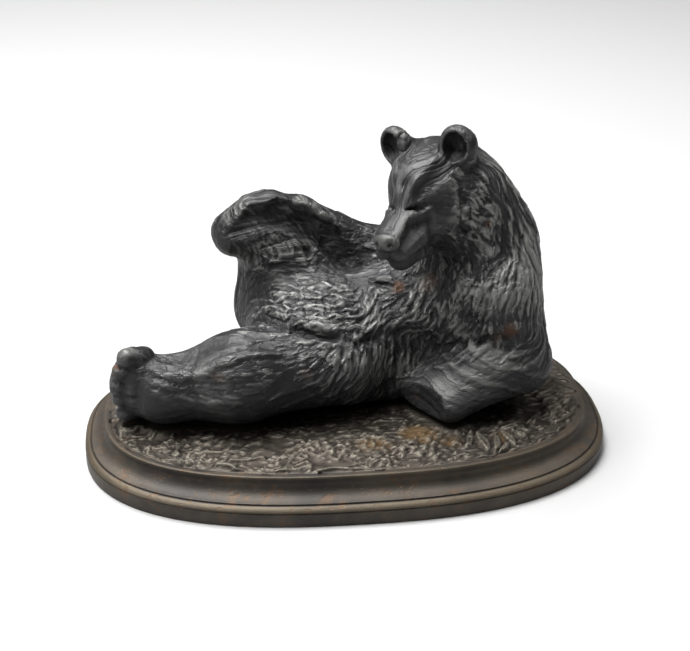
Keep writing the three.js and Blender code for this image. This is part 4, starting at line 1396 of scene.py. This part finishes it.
def strew(ground, chance):
    """Lays out what grows and lies on the ground."""
    # moss, short grass and pebbles all over
    for x, y in chance.uniform((-112, -70), (112, 70), (2600, 2)):
        kind = chance.uniform()
        turn = chance.normal(0.25, 0.5)
        if kind < 0.45:
            reach = chance.uniform(4, 9) * np.array([math.cos(turn), math.sin(turn)])
            bow = chance.uniform(-1.2, 1.2) * np.array([-math.sin(turn), math.cos(turn)])
            ground.twig([(x, y), (x, y) + reach * 0.5 + bow, (x, y) + reach], chance.uniform(1.2, 2.0),
                        chance.uniform(0.3, 0.65), 0.35)
        elif kind < 0.7:
            ground.stone(x, y, chance.uniform(1.6, 3.4), chance.uniform(0.3, 0.7), turn, chance.uniform(0.5, 1))
        else:
            ground.leaf(x, y, turn, chance.uniform(3.5, 7), chance.uniform(1.8, 3), chance.uniform(0.4, 0.8))
    # rosette of large leaves in front of the forearm
    for x, y, turn, length, width in [
        (58, -46, 1.75, 15, 5.2), (64, -47, 1.35, 13, 4.4), (70, -44, 1.9, 12, 4.6),
        (52, -44, 1.25, 13, 3.6), (72, -36, 0.15, 9, 3.6), (76, -41, -0.9, 9, 3.4), (67, -51, 0.9, 9, 2.8),
    ]:
        ground.leaf(x, y, turn, length, width, 2.3, ribs=5)
    # fronds at the right
    for i in range(11):
        turn = -0.55 + i * 0.11
        start = np.array([96 - 0.6 * i, -44 + 6.2 * i])
        ground.twig([start, start + (5, 2.5 + i * 0.1), start + (9, 7 + i * 0.1)], 3.0, 1.7, 0.4)
    # roots and twigs at the left front
    ground.twig([(-62, -52), (-56, -54), (-54, -58), (-58, -61), (-63, -59)], 2.6, 1.9, 0.7)
    ground.twig([(-54, -57), (-48, -60), (-43, -62), (-35, -61)], 2.8, 1.9, 0.5)
    ground.twig([(-56, -50), (-48, -50), (-41, -49)], 2.0, 1.7, 0.6)
    ground.twig([(-20, -62), (-8, -60), (2, -64), (16, -62), (28, -65)], 2.2, 1.5, 0.5)
    # grass
    for x, y, turn, blades, length in [
        (-34, -60, 0.9, 12, 17), (-10, -62, 0.25, 9, 15), (-80, -42, 1.4, 8, 10), (24, -34, 1.5, 9, 9),
        (46, -46, 1.2, 8, 12), (-96, -20, 2.0, 8, 9), (84, -30, 1.0, 8, 10),
    ]:
        for i in range(blades):
            way = turn + (i - blades / 2) * 0.12 + chance.normal(0, 0.05)
            bend = 0.5 * (i / blades - 0.3)
            reach = length * chance.uniform(0.7, 1.1)
            root = np.array([x + (i - blades / 2) * 0.5, y + chance.uniform(-1, 1)])
            middle = root + reach * 0.5 * np.array([math.cos(way), math.sin(way)])
            tip = middle + reach * 0.5 * np.array([math.cos(way - bend), math.sin(way - bend)])
            ground.twig([root, middle, tip], 1.3, 1.1 + 0.4 * chance.uniform(), 0.3)
    # clusters of small leaves and stones
    for x, y, wide, deep, count, size in [
        (-4, -47, 9, 5, 22, 2.6), (8, -40, 10, 4, 24, 2.6), (14, -55, 10, 5, 30, 2.4), (22, -46, 9, 5, 24, 2.8),
        (33, -40, 8, 6, 24, 3.0), (34, -52, 8, 4, 20, 2.5), (-18, -42, 8, 4, 14, 2.4), (80, -34, 10, 6, 22, 2.8),
        (-70, -45, 14, 6, 24, 2.6), (-88, -34, 8, 8, 20, 2.4), (98, -16, 8, 18, 26, 2.8), (46, -56, 8, 3, 14, 2.4),
        (0, 64, 60, 5, 60, 2.8), (-86, 30, 18, 18, 60, 2.8), (90, 34, 14, 16, 50, 2.8), (-70, 10, 22, 6, 40, 2.6),
        (-30, -52, 12, 4, 16, 2.4), (64, -38, 6, 3, 12, 2.2),
    ]:
        for _ in range(count):
            px, py = x + chance.normal(0, wide / 2), y + chance.normal(0, deep / 2)
            if chance.uniform() < 0.6:
                ground.leaf(px, py, chance.uniform(-0.5, 0.9), size * chance.uniform(1.0, 1.6),
                            size * chance.uniform(0.5, 0.8), 1.5 * chance.uniform(0.6, 1.1))
            else:
                ground.stone(px, py, size * chance.uniform(0.5, 1.0), 1.3 * chance.uniform(0.6, 1.1),
                             chance.uniform(0, 3), chance.uniform(0.6, 1.0))


def rust_patches_ground(points):
    rust = np.zeros(len(points))
    for x, y, wide, deep, strength in [
        (30, -38, 12, 8, 0.8), (44, -44, 8, 6, 0.6), (10, -44, 16, 8, 0.5), (68, -42, 8, 6, 0.5), (-30, -44, 18, 6, 0.35),
    ]:
        rust = np.maximum(rust, strength * np.exp(-(((points[:, 0] - x) / wide) ** 2 + ((points[:, 1] - y) / deep) ** 2)))
    return rust


def base_finish(settings):
    """Olive-brown patina, golden on the rubbed edges, rust in the ground."""
    finish = Finish("base_patina")
    relief, wear = finish.point_value("relief"), finish.point_value("wear")
    soil, rust = finish.point_value("soil"), finish.point_value("rust")
    cloud = finish.noise(18.0, 5.0)
    blotch = finish.noise(60.0, 6.0, 0.65)
    grit = finish.noise(1100.0, 3.0)
    dark = (0.036, 0.030, 0.025)
    rub = (wear * 0.75 + cloud * 0.7 - 0.38 + blotch * 0.25).from_to(0.25, 0.95) * (1 - soil)
    body = finish.mix((cloud * 1.6 + blotch * 1.3 - 0.95).from_to(0.0, 1.0), (0.026, 0.023, 0.021), settings.bronze)
    colour = finish.mix(rub * 0.6, body, settings.rubbed)
    speck = (finish.noise(240.0, 3.0, 0.7) + blotch * 0.5).from_to(0.80, 0.92)
    colour = finish.mix(speck * 0.55, colour, (0.085, 0.047, 0.024))
    crest = (relief * 1.5 + blotch * 0.5).from_to(-0.1, 0.9)
    earth = finish.mix(crest, dark, (0.092, 0.083, 0.068))
    colour = finish.mix(soil, colour, earth)
    stain = (rust * 1.5 + blotch * 0.9 - 0.85 - relief * 0.2).from_to(0.0, 0.7)
    colour = finish.mix(stain * 0.6, colour, (0.13, 0.078, 0.032))
    normal = finish.bump(grit * 0.45 + blotch * 0.5 - speck * 0.3, 0.0003, 0.8)
    roughness = 0.46 + grit * 0.08 + stain * 0.2 + blotch * 0.08
    return finish.metal(colour, roughness, soil * 0.3 + 0.62, normal)


# ---- Stage ----


class STAGE_OT_studio(bpy.types.Operator):
    """Sets up the floor, the lights and the camera"""

    bl_idname = "iron_bear.studio"
    bl_label = "Studio"

    def execute(self, context):
        settings = context.scene.iron_studio
        work = bmesh.new()
        bmesh.ops.create_grid(work, x_segments=1, y_segments=1, size=4.0)
        mesh = bpy.data.meshes.new("floor")
        work.to_mesh(mesh)
        work.free()
        floor = new_object("floor", mesh)
        finish = Finish("floor_paper")
        shader = finish.node("ShaderNodeBsdfDiffuse", {}, {"Color": (*settings.floor, 1)})
        finish.show(shader)
        mesh.materials.append(finish.material)
        self.softbox("top_light", (-0.28, 0.16, 1.1), (0, 0, 0.05), 0.9, 0.8, settings.top_light)
        self.softbox("side_light", (-0.95, -0.45, 0.6), (0, 0, 0.06), 0.4, 0.6, settings.side_light)
        self.softbox("rim_light", (0.75, 0.05, 0.85), (0.05, 0, 0.08), 0.35, 0.5, settings.rim_light)
        world = bpy.data.worlds.new("studio")
        world.use_nodes = True
        world.node_tree.nodes["Background"].inputs["Color"].default_value = (1, 1, 1, 1)
        world.node_tree.nodes["Background"].inputs["Strength"].default_value = 0.07
        context.scene.world = world
        context.scene.view_settings.view_transform = "Standard"
        camera = bpy.data.cameras.new("camera")
        camera.lens = 36 * 1511.9 / 690
        camera.sensor_width = 36
        camera.clip_start = 0.01
        holder = bpy.data.objects.new("camera", camera)
        context.scene.collection.objects.link(holder)
        aim, distance = Vector((0, 0, 0.0592)), 0.700
        rise, yaw = math.radians(28.11), math.radians(-5.678)
        back = Vector((math.sin(yaw) * math.cos(rise), -math.cos(yaw) * math.cos(rise), math.sin(rise)))
        holder.location = aim + back * distance
        holder.rotation_euler = back.to_track_quat("Z", "Y").to_euler()
        context.scene.camera = holder
        return {"FINISHED"}

    def softbox(self, name, place, aim, wide, high, power):
        light = bpy.data.lights.new(name, "AREA")
        light.shape = "RECTANGLE"
        light.size, light.size_y, light.energy = wide, high, power
        holder = bpy.data.objects.new(name, light)
        bpy.context.scene.collection.objects.link(holder)
        holder.location = place
        holder.rotation_euler = (Vector(place) - Vector(aim)).to_track_quat("Z", "Y").to_euler()


class BEAR_PT_panel(bpy.types.Panel):
    bl_label = "Iron Bear"
    bl_idname = "BEAR_PT_panel"
    bl_space_type = "VIEW_3D"
    bl_region_type = "UI"
    bl_category = "Iron Bear"

    def draw(self, context):
        for settings, operator in (("iron_bear", "iron_bear.casting"), ("iron_base", "iron_bear.base"),
                                   ("iron_studio", "iron_bear.studio")):
            box = self.layout.box()
            group = getattr(context.scene, settings)
            for name in group.__annotations__:
                box.prop(group, name)
            box.operator(operator)


CLASSES = (BearSettings, BaseSettings, StudioSettings, BEAR_OT_casting, BASE_OT_casting, STAGE_OT_studio,
           BEAR_PT_panel)


def register():
    for cls in CLASSES:
        bpy.utils.register_class(cls)
    bpy.types.Scene.iron_bear = PointerProperty(type=BearSettings)
    bpy.types.Scene.iron_base = PointerProperty(type=BaseSettings)
    bpy.types.Scene.iron_studio = PointerProperty(type=StudioSettings)


def unregister():
    del bpy.types.Scene.iron_bear
    del bpy.types.Scene.iron_base
    del bpy.types.Scene.iron_studio
    for cls in reversed(CLASSES):
        bpy.utils.unregister_class(cls)


def main():
    register()
    bpy.ops.iron_bear.casting()
    bpy.ops.iron_bear.base()
    bpy.ops.iron_bear.studio()


if __name__ == "__main__":
    main()
